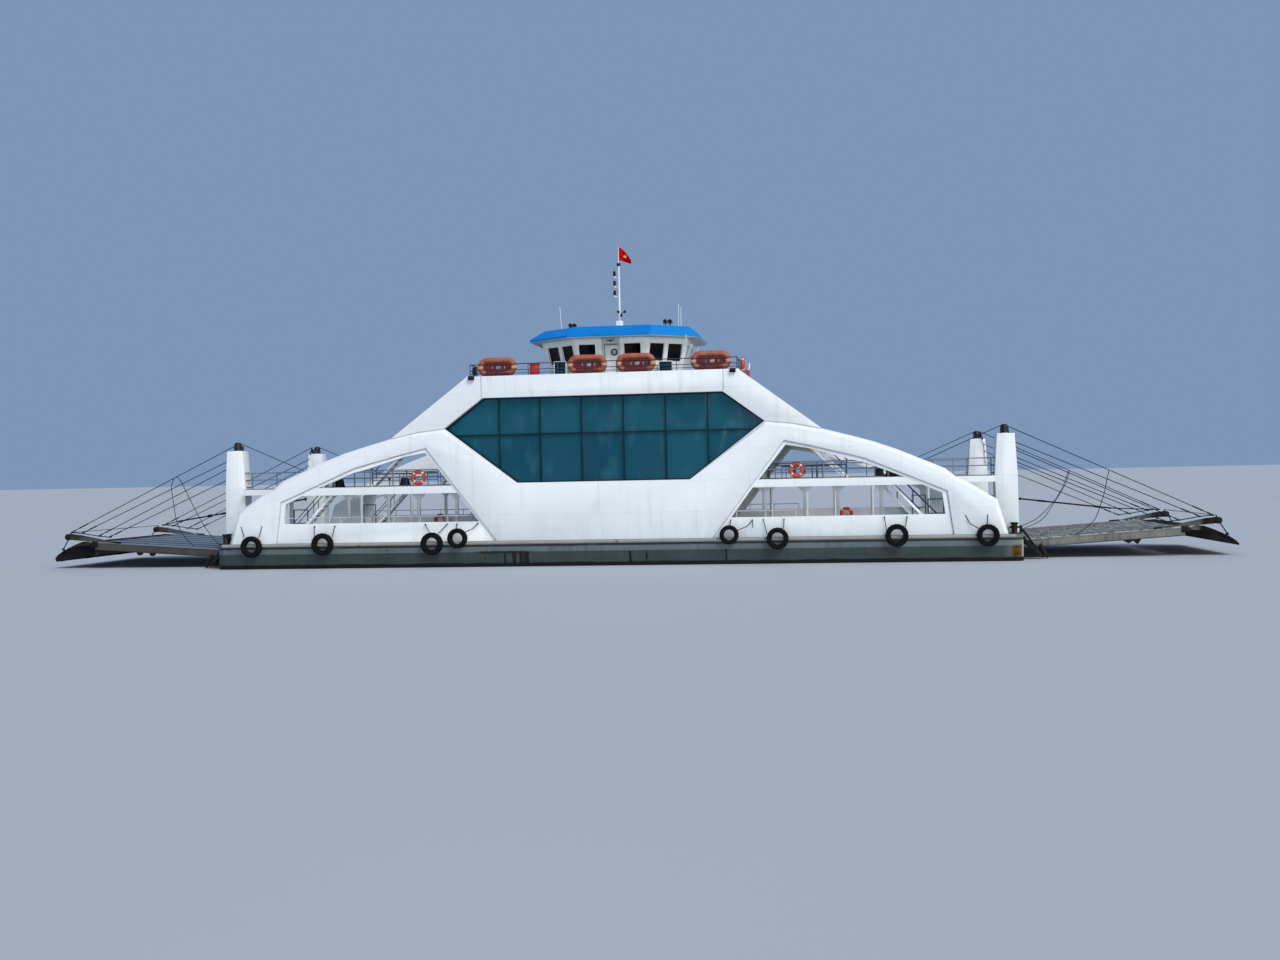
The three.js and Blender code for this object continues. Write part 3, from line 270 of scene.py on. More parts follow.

# %% [markdown]
# The hull has three bands. Its upper plating is a light worn grey, below the knuckle the plating
# slopes in and is a darker green-grey, painted shade for plating that faces down, and at the
# waterline there is a black boot-top. The plating is scuffed, black runs come down from the
# knuckle, and one corner has lost its paint. The paint below the waterline is a dull red with weed.

# %% Hull paint
UPPER_GREY = (0.105, 0.14, 0.15)
SHADED_LOWER_GREY = (0.038, 0.054, 0.053)
BOOT_TOP = (0.004, 0.005, 0.005)
CHALK = (0.3, 0.33, 0.33)
SCUFF = (0.03, 0.033, 0.032)
GRIME = (0.05, 0.047, 0.04)
STAIN = (0.006, 0.006, 0.006)
PALE_RUST = (0.13, 0.07, 0.03)
FADED_CORNER = (0.2, 0.21, 0.18)
OCHRE = (0.11, 0.055, 0.004)
DARK_OCHRE = (0.045, 0.022, 0.005)
BARE_EDGE = (0.42, 0.36, 0.27)
STRAKE_SHADE = (0.02, 0.022, 0.022)
ANTIFOULING = (0.13, 0.035, 0.025)
WEED = (0.03, 0.04, 0.02)
DECK_PAINT = (0.10, 0.125, 0.115)
WORN_DECK = (0.17, 0.165, 0.15)
WHEEL_TRACK = (0.045, 0.043, 0.04)
LANE_PAINT = (0.62, 0.6, 0.5)
KNUCKLE_Z = 0.75
BOOT_TOP_Z = 0.2
STRAKE_FOOT = 1.1
DECK_Z = 1.267
WHEEL_TRACK_Y = (1.1, 3.2)
LANE_LINE_Y = 1.62
FRAME_PITCH = 0.75
# Black runs down from the knuckle: each one's x and half its width.
STAIN_RUNS = [
    (-5.96, 0.03), (-4.94, 0.045), (-4.48, 0.1), (-4.15, 0.09), (-3.86, 0.14), (1.3, 0.045),
    (2.11, 0.02), (5.99, 0.045),
]
SMEAR = (-6.3, -3.7)


def hull_finish():
    # The base colour is the band below the knuckle, darkened as painted shade for plating that faces down.
    finish = Finish("hull_paint", SHADED_LOWER_GREY, 0.6, fixed={"Specular IOR Level": 0.2})
    x, y, z = finish.axes()
    ragged = z + (finish.noise(0.6, 4) - 0.5) * 0.12
    above = z.ramp(KNUCKLE_Z - 0.02, KNUCKLE_Z + 0.02)
    finish.coat(above, UPPER_GREY)
    chalk = finish.noise(1.7, 5, (1, 1, 0.5)).ramp(0.35, 0.75)
    finish.coat(chalk * (above * 0.12 + 0.05), CHALK)
    scuffs = finish.noise(0.5, 5, (0.25, 1, 2.2)).ramp(0.56, 0.7)
    finish.coat(scuffs * 0.4, SCUFF)
    streaks = finish.noise(0.3, 3, (1, 1, 0.1)).ramp(0.55, 0.75)
    finish.coat(streaks * 0.35, GRIME)
    wander = (finish.noise(0.2, 3, (1, 1, 0.4)) - 0.5) * 0.2
    stain = x.inside(*SMEAR, 0.4) * (z + wander * 0.6).inside(0.66, 0.8, 0.03) * 0.8
    for run_x, half in STAIN_RUNS:
        run = (abs(x - run_x) + wander).ramp(half + 0.02, half - 0.02)
        stain = stain.most(run * z.ramp(0.76, 0.7) * 0.9)
    finish.coat(stain, STAIN)
    bare = finish.noise(0.45, 4).ramp(0.62, 0.7) * finish.noise(2.6, 1).ramp(0.52, 0.62) * 0.5
    finish.coat(bare, finish.blend(finish.noise(0.14, 4).ramp(0.4, 0.6), PALE_RUST, DARK_RUST))
    near = y.ramp(-6.0, -6.4)
    faded = x.ramp(18.9, 19.7) * near * z.inside(0.2, 1.0, 0.1)
    finish.coat(faded * 0.6, FADED_CORNER)
    grain = (finish.noise(0.25, 3, (1, 1, 0.25)) - 0.5) * 0.25
    corner = (x + grain).inside(19.42, 19.88, 0.14) * (z + grain * 0.3).inside(0.22, 0.76, 0.04) * near
    ochre = finish.blend(finish.noise(0.22).ramp(0.35, 0.65), OCHRE, DARK_OCHRE)
    finish.coat(corner * 0.97, ochre)
    edge = x.ramp(19.88, 19.93) * near * z.inside(0.1, 1.1, 0.03)
    finish.coat(edge * 0.7, BARE_EDGE)
    finish.coat(ragged.ramp(BOOT_TOP_Z + 0.03, BOOT_TOP_Z - 0.03), BOOT_TOP)
    fouled = finish.blend(finish.noise(0.5, 5).ramp(0.42, 0.6), ANTIFOULING, WEED)
    finish.coat(ragged.ramp(-0.1, -0.2), fouled)
    under_strake = z.inside(STRAKE_FOOT - 0.1, STRAKE_FOOT + 0.01, 0.02) * finish.noise(1.2).ramp(0.1, 0.45)
    finish.coat(under_strake * 0.9, STRAKE_SHADE)
    inner, outer = WHEEL_TRACK_Y
    tracks = abs(y).inside(inner - 0.4, inner + 0.4, 0.3) + abs(abs(y) - outer).ramp(0.9, 0.3)
    worn = finish.noise(0.9, 5, (0.3, 1, 1)).ramp(0.35, 0.7)
    deck = finish.blend(worn * 0.6, DECK_PAINT, WORN_DECK)
    deck = finish.blend(tracks.least(1) * worn * 0.6, deck, WHEEL_TRACK)
    lane_line = abs(abs(y) - LANE_LINE_Y).ramp(0.07, 0.05) * worn.ramp(1, 0.1)
    deck = finish.blend(lane_line * 0.8, deck, LANE_PAINT)
    finish.coat(z.ramp(DECK_Z - 0.005, DECK_Z + 0.005), deck)
    fittings = z.ramp(DECK_Z + 0.033, DECK_Z + 0.043).most(abs(x).ramp(20.01, 20.03))
    finish.coat(fittings, finish.blend(finish.noise(0.2, 4).ramp(0.5, 0.65), NEARLY_BLACK, DARK_RUST))
    finish.set("Roughness", 0.5 + chalk * 0.2 + bare.most(corner) * 0.25)
    plates = seam_lines(x, 4 * FRAME_PITCH, 0.025)
    frames = seam_lines(x, FRAME_PITCH, 0.2) * 0.35
    finish.relief(finish.noise(0.9, 2) + plates * 0.3 + frames + bare * 0.25, 0.025)
    return finish


hull_paint = hull_finish()
print("hull bands at", KNUCKLE_Z, "and", BOOT_TOP_Z)

# %% [markdown]
# The lounge glass is tinted teal and nearly opaque by day. Each pane sits at its own slight angle,
# so each pane gets its own painted reflection, a little lighter or darker, and the upper row is
# painted lighter. The wheelhouse glass is darker and clearer.

# %% Glass
PANE_WIDTH = 2.08
PANE_EDGE = 1.05
PANE_ROW = 6.54


def lounge_glass_finish():
    finish = Finish("lounge_glass", (0.002, 0.062, 0.1), 0.07, fixed={"IOR": 1.5})
    x, y, z = finish.axes()
    column = ((x + PANE_EDGE) / PANE_WIDTH).whole()
    row = z.ramp(PANE_ROW - 0.001, PANE_ROW + 0.001)
    # Painted reflection: each pane gets its own tone, and the upper row a lighter one.
    tone = ((column * 12.9898 + row * 78.233) * 0.731).fraction()
    finish.coat(tone * 0.5 + row * 0.25, (0.009, 0.11, 0.15))
    seen_inside = finish.noise(0.7, 3, (1, 1, 0.35)).ramp(0.5, 0.72)
    finish.coat(seen_inside * 0.35, (0.03, 0.15, 0.19))
    finish.set("Alpha", 0.93)
    finish.set("Roughness", 0.05 + seen_inside * 0.06)
    finish.relief(finish.noise(2.2, 1) + tone * 0.5, 0.01)
    return finish


def cabin_glass_finish():
    finish = Finish("cabin_glass", (0.002, 0.003, 0.005), 0.06, fixed={"Specular IOR Level": 0.2})
    smear = finish.noise(0.4).ramp(0.45, 0.75)
    finish.coat(smear * 0.3, (0.01, 0.014, 0.018))
    finish.set("Roughness", 0.04 + smear * 0.1)
    finish.set("Alpha", 0.94)
    return finish


lounge_glass = lounge_glass_finish()
cabin_glass = cabin_glass_finish()
print("pane width", PANE_WIDTH)


# %% [markdown]
# Paints, plastics and bare metals that need no bands share one recipe: a base tone, a second tone in
# cloudy patches, a third for wear or rust in smaller spots, and a little relief. What makes them
# differ is the size of the patches and how much of the wear tone shows.

# %% Patchy finishes
def patchy(name, base, faded, worn, roughness, patch, wear, metallic=0, depth=0.004, tall=1, shine=0.5):
    """Three tones: base, faded and worn. tall under 1 draws the patches out upwards."""
    finish = Finish(name, base, roughness, metallic, {"Specular IOR Level": shine})
    cloud = finish.noise(patch, 4, (1, 1, tall)).ramp(0.35, 0.7)
    spots = finish.noise(patch * 0.3, 5, (1, 1, tall)).ramp(0.72 - wear * 0.3, 0.84 - wear * 0.3)
    finish.coat(cloud * 0.7, faded)
    finish.coat(spots * min(1, wear * 2), worn)
    finish.set("Roughness", roughness + spots * (0.95 - roughness) * 0.6)
    finish.relief(finish.noise(0.05) + spots * 0.5, depth)
    return finish


strake_grey = patchy(
    "strake_grey", (0.27, 0.275, 0.265), (0.34, 0.34, 0.32), DARK_RUST, 0.6, 1.4, 0.35, tall=1.5, shine=0.3
)
float_orange = patchy(
    "float_orange", (0.36, 0.076, 0.03), (0.47, 0.16, 0.075), (0.16, 0.04, 0.025), 0.62, 0.35, 0.35
)
float_tape = patchy("float_tape", (0.7, 0.46, 0.32), (0.6, 0.36, 0.25), (0.3, 0.15, 0.1), 0.5, 0.2, 0.2)
float_red = patchy("float_red", (0.14, 0.012, 0.01), (0.2, 0.02, 0.012), (0.05, 0.01, 0.01), 0.7, 0.3, 0.3)
label_grey = patchy("label_grey", (0.42, 0.37, 0.36), (0.3, 0.24, 0.24), (0.15, 0.06, 0.06), 0.6, 0.2, 0.2)
ring_red = patchy("ring_red", (0.55, 0.03, 0.012), (0.62, 0.06, 0.03), (0.3, 0.02, 0.01), 0.5, 0.2, 0.1)
band_white = patchy("band_white", (0.75, 0.75, 0.72), (0.62, 0.62, 0.6), (0.3, 0.3, 0.28), 0.55, 0.2, 0.1)
locker_red = patchy("locker_red", (0.5, 0.01, 0.02), (0.58, 0.03, 0.03), (0.2, 0.02, 0.02), 0.45, 0.5, 0.1)
tyre_rubber = patchy(
    "tyre_rubber", (0.004, 0.004, 0.005), (0.008, 0.008, 0.008), (0.02, 0.018, 0.016), 0.85, 0.25, 0.25,
    shine=0.12,
)
flap_dark = patchy(
    "flap_dark", (0.007, 0.006, 0.006), (0.014, 0.01, 0.009), (0.05, 0.028, 0.016), 0.85, 0.7, 0.3,
    depth=0.012, shine=0.15,
)
greasy_black = patchy(
    "greasy_black", (0.008, 0.008, 0.009), (0.016, 0.014, 0.013), (0.06, 0.03, 0.015), 0.6, 0.4, 0.25, 0.3,
    shine=0.25,
)
wire_rope = patchy(
    "wire_rope", (0.01, 0.012, 0.015), (0.02, 0.023, 0.027), (0.05, 0.035, 0.02), 0.6, 0.5, 0.2, 0.3,
    shine=0.25,
)
deck_green = patchy(
    "deck_green", (0.10, 0.14, 0.12), (0.15, 0.18, 0.155), (0.09, 0.06, 0.035), 0.75, 1.5, 0.3
)
tread_grey = patchy("tread_grey", (0.2, 0.22, 0.23), (0.15, 0.165, 0.17), RUST, 0.6, 0.4, 0.15)
rail_grey = patchy("rail_grey", (0.5, 0.53, 0.56), (0.4, 0.42, 0.43), RUST, 0.5, 0.6, 0.15)
rail_dark = patchy("rail_dark", (0.03, 0.04, 0.058), (0.06, 0.07, 0.09), RUST, 0.5, 0.6, 0.1, shine=0.3)
bar_steel = patchy(
    "bar_steel", (0.22, 0.218, 0.212), (0.11, 0.108, 0.106), (0.09, 0.06, 0.04), 0.7, 0.25, 0.2, 0.2,
    shine=0.1,
)
groove_steel = patchy(
    "groove_steel", (0.03, 0.034, 0.04), (0.045, 0.05, 0.056), (0.04, 0.03, 0.025), 0.75, 0.8, 0.2, 0.2,
    shine=0.08,
)
seat_blue = patchy("seat_blue", (0.03, 0.11, 0.3), (0.045, 0.14, 0.34), (0.02, 0.05, 0.12), 0.4, 0.5, 0.1)
dull_bronze = patchy(
    "dull_bronze", (0.42, 0.25, 0.09), (0.3, 0.2, 0.09), (0.08, 0.14, 0.09), 0.38, 0.15, 0.3, 0.9
)
window_dark = patchy(
    "window_dark", (0.004, 0.024, 0.034), (0.008, 0.036, 0.048), (0.015, 0.05, 0.06), 0.5, 0.8, 0.1,
    shine=0.08,
)
stair_yellow = patchy("stair_yellow", (0.5, 0.24, 0.02), (0.58, 0.3, 0.04), DARK_RUST, 0.6, 0.5, 0.25)
print("patchy finishes made")


# %% [markdown]
# Three finishes change over a piece in their own way. The lounge's side panel has a welded seam on
# each side of the window. The roof is blue above, with a painted highlight that makes its fore facet
# paler, and white on its soffit.
# The wheelhouse has painted shade, a grey tone, in its two door recesses.

# %% Panel, roof and house finishes
PANEL_SEAM_X = 6.0
SOFFIT_Z = 11.52
ROOF_LIT_FACET_X = 2.05


def panel_finish():
    finish = enamel("lounge_panel_enamel", streaks=0.34)
    x, y, z = finish.axes()
    seam = abs(abs(x) - PANEL_SEAM_X).ramp(0.03, 0.015) * z.ramp(8.4, 8.42)
    finish.coat(seam * 0.6, (0.2, 0.2, 0.2))
    return finish


def roof_finish():
    blues = (0.0, 0.19, 0.58), (0.004, 0.23, 0.66), (0.08, 0.26, 0.45)
    finish = patchy("roof_blue", *blues, 0.5, 1.6, 0.06, shine=0.04)
    x, y, z = finish.axes()
    # Painted highlight: the facet fore of the hip is paler, as if the sun fell on it.
    finish.coat(x.ramp(ROOF_LIT_FACET_X - 0.01, ROOF_LIT_FACET_X + 0.01) * 0.6, (0.01, 0.27, 0.7))
    finish.coat(z.ramp(SOFFIT_Z + 0.005, SOFFIT_Z - 0.005), WHITE)
    return finish


def house_finish():
    finish = enamel("wheelhouse_enamel", (0.93, 0.94, 0.92), 0.25, 0.3)
    x, y, z = finish.axes()
    # Painted shade: the two door recesses are tinted grey.
    recess = abs(x).ramp(0.49, 0.47) * abs(y).inside(2.9, 3.6, 0.02)
    finish.coat(recess * 0.6, (0.32, 0.33, 0.34))
    return finish


panel_white = panel_finish()
roof_blue = roof_finish()
house_white = house_finish()
door_white = enamel("door_enamel", (0.97, 0.97, 0.95), 0.1, 0.1)
print("banded finishes:", panel_white.material.name, roof_blue.material.name, house_white.material.name)

# %% [markdown]
# The stage is a pale floor at the waterline, a plain grey-blue backdrop and soft light. The floor
# cuts the hull where it floats. A wide sun gives soft shadows from the right and the backdrop fills
# them. Two weak level lights reach under the decks, one from the camera's side and one from the
# right.

# %% Stage and light
FLOOR_SIZE = 3000
BACKDROP_COLOUR = (0.24, 0.36, 0.56)
BACKDROP_STRENGTH = 0.85
# Each light's strength, softness, turn from straight down, turn about the vertical, and colour.
LIGHTS = [
    (2.12, 30, 45, 40, (1.0, 0.97, 0.93)),
    (0.95, 20, 89, 8, (1.0, 0.98, 0.95)),
    (0.55, 40, 84, 72, (1.0, 0.98, 0.95)),
]


def add_stage():
    bpy.ops.object.select_all(action="DESELECT")
    bpy.ops.mesh.primitive_plane_add(size=FLOOR_SIZE)
    floor = bpy.context.object
    floor.name = "floor"
    finish = Finish("floor_paper", (0.47, 0.49, 0.505), 0.8)
    finish.coat(finish.noise(30, 2), (0.53, 0.545, 0.55))
    floor.data.materials.append(finish.material)
    world = bpy.data.worlds.new("soft_backdrop")
    world.use_nodes = True
    backdrop = world.node_tree.nodes["Background"]
    backdrop.inputs["Color"].default_value = (*BACKDROP_COLOUR, 1)
    backdrop.inputs["Strength"].default_value = BACKDROP_STRENGTH
    bpy.context.scene.world = world
    for strength, softness, lean, turn, colour in LIGHTS:
        bpy.ops.object.light_add(type="SUN", rotation=(math.radians(lean), 0, math.radians(turn)))
        lamp = bpy.context.object.data
        lamp.energy = strength
        lamp.angle = math.radians(softness)
        lamp.color = colour
    bpy.context.scene.view_settings.view_transform = "Standard"


add_stage()
print("floor at the waterline, z = 0")

# %% [markdown]
# These helpers are the hand's usual moves. A piece is opened for modelling, primitives are added to
# it in edit mode, and it is settled: named, brought to the model's size, smoothed, given its finish
# and set to ride on its body of the model.


# %% Modelling helpers
def only(*objects):
    bpy.ops.object.select_all(action="DESELECT")
    for obj in objects:
        obj.select_set(True)
    bpy.context.view_layer.objects.active = objects[0]


@contextmanager
def modelling(name):
    obj = bpy.data.objects.new(name, bpy.data.meshes.new(name))
    bpy.context.scene.collection.objects.link(obj)
    only(obj)
    bpy.ops.object.mode_set(mode="EDIT")
    yield obj
    bpy.ops.object.mode_set(mode="OBJECT")


@contextmanager
def editing(obj):
    only(obj)
    bpy.ops.object.mode_set(mode="EDIT")
    bpy.ops.mesh.select_all(action="SELECT")
    yield
    bpy.ops.object.mode_set(mode="OBJECT")


def rod(start, end, radius, sides=8):
    """A round bar from start to end."""
    start, end = Vector(start), Vector(end)
    turn = (end - start).to_track_quat("Z", "Y").to_euler()
    bpy.ops.mesh.primitive_cylinder_add(
        vertices=sides, radius=radius, depth=(end - start).length, location=(start + end) / 2, rotation=turn
    )


def upright(x, y, low, high, radius, sides=8):
    rod((x, y, low), (x, y, high), radius, sides)


def slab(low, high, rotation=(0, 0, 0)):
    """A box between two corners, to be joined and bevelled with the rest of its piece."""
    low, high = Vector(low), Vector(high)
    bpy.ops.mesh.primitive_cube_add(size=1, location=(low + high) / 2, scale=high - low, rotation=rotation)


def modify(obj, kind, **settings):
    only(obj)
    bpy.ops.object.modifier_add(type=kind)
    modifier = obj.modifiers[-1]
    for setting, value in settings.items():
        setattr(modifier, setting, value)
    bpy.ops.object.modifier_apply(modifier=modifier.name)


def bevelled(obj, width):
    modify(
        obj, "BEVEL", width=width, segments=2, limit_method="ANGLE", angle_limit=math.radians(30),
        use_clamp_overlap=False,
    )


def place(obj):
    """Puts the object's place, turn and size into its mesh."""
    only(obj)
    bpy.ops.object.transform_apply(location=True, rotation=True, scale=True)


def settle(obj, finish, body="ship", angle=35, replaces=(), shrink=True):
    place(obj)
    if shrink:
        obj.scale = (SCALE, SCALE, SCALE)
        place(obj)
    bpy.ops.object.shade_smooth_by_angle(angle=math.radians(angle))
    obj.data.name = obj.name
    if finish is not None:
        obj.data.materials.clear()
        obj.data.materials.append(finish.material)
    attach(obj, body)
    if replaces:
        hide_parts(*replaces)


def twin(obj, name, x_sign=1, y_sign=1):
    """A copy with its own mesh, mirrored over the ship's middle."""
    copy = obj.copy()
    copy.data = obj.data.copy()
    copy.name = name
    bpy.context.scene.collection.objects.link(copy)
    copy.scale = (x_sign, y_sign, 1)
    place(copy)
    if x_sign * y_sign < 0:
        with editing(copy):
            bpy.ops.mesh.normals_make_consistent(inside=False)
    return copy


def joined(objects, name):
    only(*objects)
    bpy.ops.object.join()
    whole = bpy.context.object
    whole.name = name
    return whole


print("helpers ready")

# %% [markdown]
# A flat plate is a filled ring of corners pushed out to its thickness. The ring is added as a circle
# with as many corners as the plate has, its corners are put in their places, and it is extruded.
# The ship's two ends and two sides are alike, so most pieces are modelled once, at the fore end on
# the starboard side, and mirrored to the other corners.


# %% Plates, bars and copies over the ship
ENDS = (("fore", 1), ("aft", -1))
SIDES = (("starboard", 1), ("port", -1))
ONE = (("", 1),)
COPIES = {"corners": (ENDS, SIDES), "sides": (ONE, SIDES), "ends": (ENDS, ONE), "one": (ONE, ONE)}


def plate(corners, low, high, axis="Y"):
    """A plate with those corners, from low to high across the ship, or along it where axis is X."""
    bpy.ops.mesh.primitive_circle_add(vertices=len(corners), fill_type="NGON")
    mesh = bmesh.from_edit_mesh(bpy.context.object.data)
    fresh = [vertex for vertex in mesh.verts if vertex.select]
    for vertex, (a, b) in zip(fresh, corners):
        vertex.co = (low, a, b) if axis == "X" else (a, low, b)
    bmesh.update_edit_mesh(bpy.context.object.data)
    push = (high - low, 0, 0) if axis == "X" else (0, high - low, 0)
    bpy.ops.mesh.extrude_region_move(TRANSFORM_OT_translate={"value": push})
    bpy.ops.mesh.select_linked()
    bpy.ops.mesh.normals_make_consistent(inside=False)


def bar(start, end, width, low, high):
    """A flat bar between two points of the side view, from low to high across the ship."""
    (x0, z0), (x1, z1) = start, end
    bpy.ops.mesh.primitive_cube_add(
        size=1,
        location=((x0 + x1) / 2, (low + high) / 2, (z0 + z1) / 2),
        rotation=(0, -math.atan2(z1 - z0, x1 - x0), 0),
        scale=(math.hypot(x1 - x0, z1 - z0), high - low, width),
    )


def both_ends(corners):
    """The corners followed by their mirror images at the other end."""
    return [*corners, *((-a, b) for a, b in reversed(corners))]


def between(start, end, part):
    return tuple(a + (b - a) * part for a, b in zip(start, end))


def places(over):
    """The name and sign of each end and side that a piece has a copy at."""
    ends, sides = COPIES[over]
    return [(*end, *side) for end in ends for side in sides]


def part_name(*words):
    return "_".join(word for word in words if word)


def spread(obj, stem, finish, slot, over="corners", body="ship", replaces=(), angle=35):
    """Settles the fore starboard piece and its mirrored copies at the other ends and sides."""
    made = []
    for end, end_sign, side, side_sign in places(over):
        name = part_name(stem, end, side)
        made.append((twin(obj, name, end_sign, side_sign) if made else obj, name, end, side))
    for copy, name, end, side in made:
        copy.name = name
        nodes = [node.format(end=end, side=side) for node in replaces]
        settle(copy, finish, body.format(end=end, side=side), angle, nodes)


@contextmanager
def piece(stem, finish, slot, bevel=0, over="corners", **rest):
    """Opens a piece for modelling, then bevels it and spreads its copies."""
    with modelling(stem) as obj:
        yield
    if bevel:
        bevelled(obj, bevel)
    spread(obj, stem, finish, slot, over, **rest)


print("plates and bars ready")

# %% [markdown]
# The model's solids are sharp and made of loose triangles. Real plate edges are rounded and catch a
# thin line of light. Each main solid is copied, its triangles are merged, its edges are bevelled,
# and the copy stands for the solid. Flat faces are dissolved first where a plate has no holes.


# %% Rounded copies of the solids
def merged_copy(node, flat=True):
    source = frame["nodes"][node]
    obj = source.copy()
    obj.data = source.data.copy()
    obj.name = node + "_finished"
    obj.parent = None
    obj.matrix_world = Matrix.Identity(4)
    for key in list(obj.keys()):
        del obj[key]
    bpy.context.scene.collection.objects.link(obj)
    with editing(obj):
        bpy.ops.mesh.remove_doubles(threshold=0.0002)
        if flat:
            bpy.ops.mesh.dissolve_limited(angle_limit=math.radians(0.5))
    return obj


def rounded(node, finish, width, flat=True, body="ship", angle=35):
    obj = merged_copy(node, flat)
    bevelled(obj, width * SCALE)
    settle(obj, finish, body, angle, (node,), False)


RAIL_TONE = (0.13, 0.16, 0.2)


def walkway_finish():
    """White below, a green floor on top and dark rails above it."""
    finish = enamel("walkway_enamel")
    z = finish.axes()[2]
    floor = finish.blend(finish.noise(0.8, 4), (0.10, 0.14, 0.12), (0.16, 0.18, 0.16))
    finish.coat(z.ramp(SIDE_DECK_Z - 0.005, SIDE_DECK_Z + 0.005), floor)
    finish.coat(z.ramp(SIDE_DECK_Z + 0.03, SIDE_DECK_Z + 0.04), RAIL_TONE)
    return finish


walkway_white = walkway_finish()
# Each solid's name and copies, finish, slot, bevel, whether flat faces are dissolved, and its body.
SOLIDS = [
    ("hull", "one", hull_paint, "hull", 0.03, True, "ship"),
    ("lounge_floor", "one", white, "white", 0.02, True, "ship"),
    ("lounge_end", "ends", white, "white", 0.03, False, "ship"),
    ("bridge_deck", "one", deck_green, "deck", 0.02, True, "ship"),
    ("wheelhouse", "one", house_white, "white", 0.015, False, "ship"),
    ("mast", "one", white, "white", 0.01, True, "ship"),
    ("lounge_seats", "one", seat_blue, "seat", 0.02, True, "ship"),
    ("casing", "sides", white, "white", 0.02, True, "ship"),
    ("wheelhouse_door", "sides", door_white, "white", 0.01, True, "door_{side}"),
    ("opening_frame", "corners", white, "white", 0.02, False, "ship"),
    ("walkway", "corners", walkway_white, "white", 0.01, False, "ship"),
    ("tower", "corners", tower_white, "white", 0.03, True, "ship"),
    ("winch", "corners", greasy_black, "dark_steel", 0.015, True, "ship"),
    ("propeller", "ends", dull_bronze, "bronze", 0.012, True, "propeller_{end}"),
    ("rudder", "ends", hull_paint, "hull", 0.015, True, "rudder_{end}"),
]

for stem, over, finish, slot, width, flat, body in SOLIDS:
    for end, _, side, _ in places(over):
        rounded(part_name(stem, end, side), finish, width, flat, body.format(end=end, side=side))
rounded("wheelhouse_roof", roof_blue, 0.03, angle=8)
print(len(SOLIDS), "kinds of rounded solid")

# %% [markdown]
# The outer side wall is a thick plate with an arch at each end. On the real ship the arch has a
# bright chamfer along its outer edge, and so has the slanting lower edge of the window. Those edges
# are picked by their place on the outer face and bevelled flat, before the finer bevel that all
# edges get.

# %% Side walls with their arches
WALL_OUTER = 6.98
PANEL_OUTER = 6.88
PANEL_INNER = 6.58
ARCH = [
    (19.3, 1.28), (18.8, 2.93), (17.5, 3.75), (16.9, 4.05), (16.4, 4.45), (15.35, 4.9),
    (14.2, 5.39), (13.16, 5.77), (12.2, 6.05), (10.7, 6.46), (9.3, 6.75), (7.94, 6.9), (4.3, 4.14),
]
ARCH_CHAMFER = 0.18


def side_walls():
    near = 0.02
    corners = [Vector(corner) for corner in ARCH]
    for side, _ in SIDES:
        wall = merged_copy("side_wall_" + side)
        with editing(wall):
            mesh = bmesh.from_edit_mesh(wall.data)
            bpy.ops.mesh.select_all(action="DESELECT")
            bpy.ops.mesh.select_mode(type="EDGE")
            for edge in mesh.edges:
                ends = [vertex.co / SCALE for vertex in edge.verts]
                on_face = all(abs(abs(end.y) - WALL_OUTER) < near for end in ends)
                on_arch = all(
                    any((Vector((abs(end.x), end.z)) - corner).length < near for corner in corners)
                    for end in ends
                )
                edge.select_set(on_face and on_arch and abs(ends[0].x + ends[1].x) > 1)
            bpy.ops.mesh.bevel(offset=ARCH_CHAMFER * SCALE, segments=1, affect="EDGES")
            bpy.ops.mesh.select_mode(type="VERT")
        bevelled(wall, 0.02 * SCALE)
        settle(wall, white, replaces=("side_wall_" + side,), shrink=False)


side_walls()
print("arch chamfer", ARCH_CHAMFER, "m")

# %% [markdown]
# Above the lounge window sits a flat upper panel, set back a little from the arch. The window itself
# is one six-sided opening, divided by thin dark mullions that stand just proud of the glass. The
# mullions are flat bars joined into one frame.

# %% Lounge panels and window frames
WINDOW_CORNERS = [(4.3, 4.14), (7.94, 6.9), (5.96, 8.37)]
PANEL_EDGE = [(5.96, 8.37), (7.94, 6.902), (9.3, 6.752), (10.69, 6.465), (6.8, 9.38), (6.75, 9.45)]
MULLION_X = (-5.2, -3.13, -1.05, 1.05, 3.13, 5.2)
MULLION_Z = PANE_ROW
MULLION_WIDTH = 0.06
MULLION_OUTER = 6.57
MULLION_INNER = 6.455


def window_height(x):
    """The lowest and highest point of the window at that place along the ship."""
    (low_x, low_z), (tip_x, tip_z), (top_x, top_z) = WINDOW_CORNERS
    past_low = max(0, abs(x) - low_x) / (tip_x - low_x)
    past_top = max(0, abs(x) - top_x) / (tip_x - top_x)
    return low_z + past_low * (tip_z - low_z), top_z - past_top * (top_z - tip_z)


def lounge_sides():
    with piece("lounge_panel", panel_white, "white", 0.02, "sides", replaces=("lounge_side_{side}",)):
        plate(both_ends(PANEL_EDGE), -PANEL_OUTER, -PANEL_INNER)
    with piece("window_frame", window_dark, "glass", 0.008, "sides"):
        low, high = -MULLION_OUTER, -MULLION_INNER
        corners = both_ends(WINDOW_CORNERS)
        for start, end in zip(corners, corners[1:] + corners[:1]):
            bar(start, end, 2.2 * MULLION_WIDTH, low, high)
        for x in MULLION_X:
            foot, head = window_height(x)
            bar((x, foot), (x, head), MULLION_WIDTH, low, high)
        reach = WINDOW_CORNERS[1][0] - 0.5
        bar((-reach, MULLION_Z), (reach, MULLION_Z), MULLION_WIDTH, low, high)


lounge_sides()
print("mullions at", MULLION_X)

# %% Glass keeps the solids' own mesh
GLASS_NODES = {
    "wheelhouse_glass": cabin_glass, "lounge_glass_starboard": lounge_glass, "lounge_glass_port": lounge_glass
}
for node, finish in GLASS_NODES.items():
    frame["nodes"][node].data.materials.clear()
    frame["nodes"][node].data.materials.append(finish.material)
print(len(GLASS_NODES), "panes of glass")

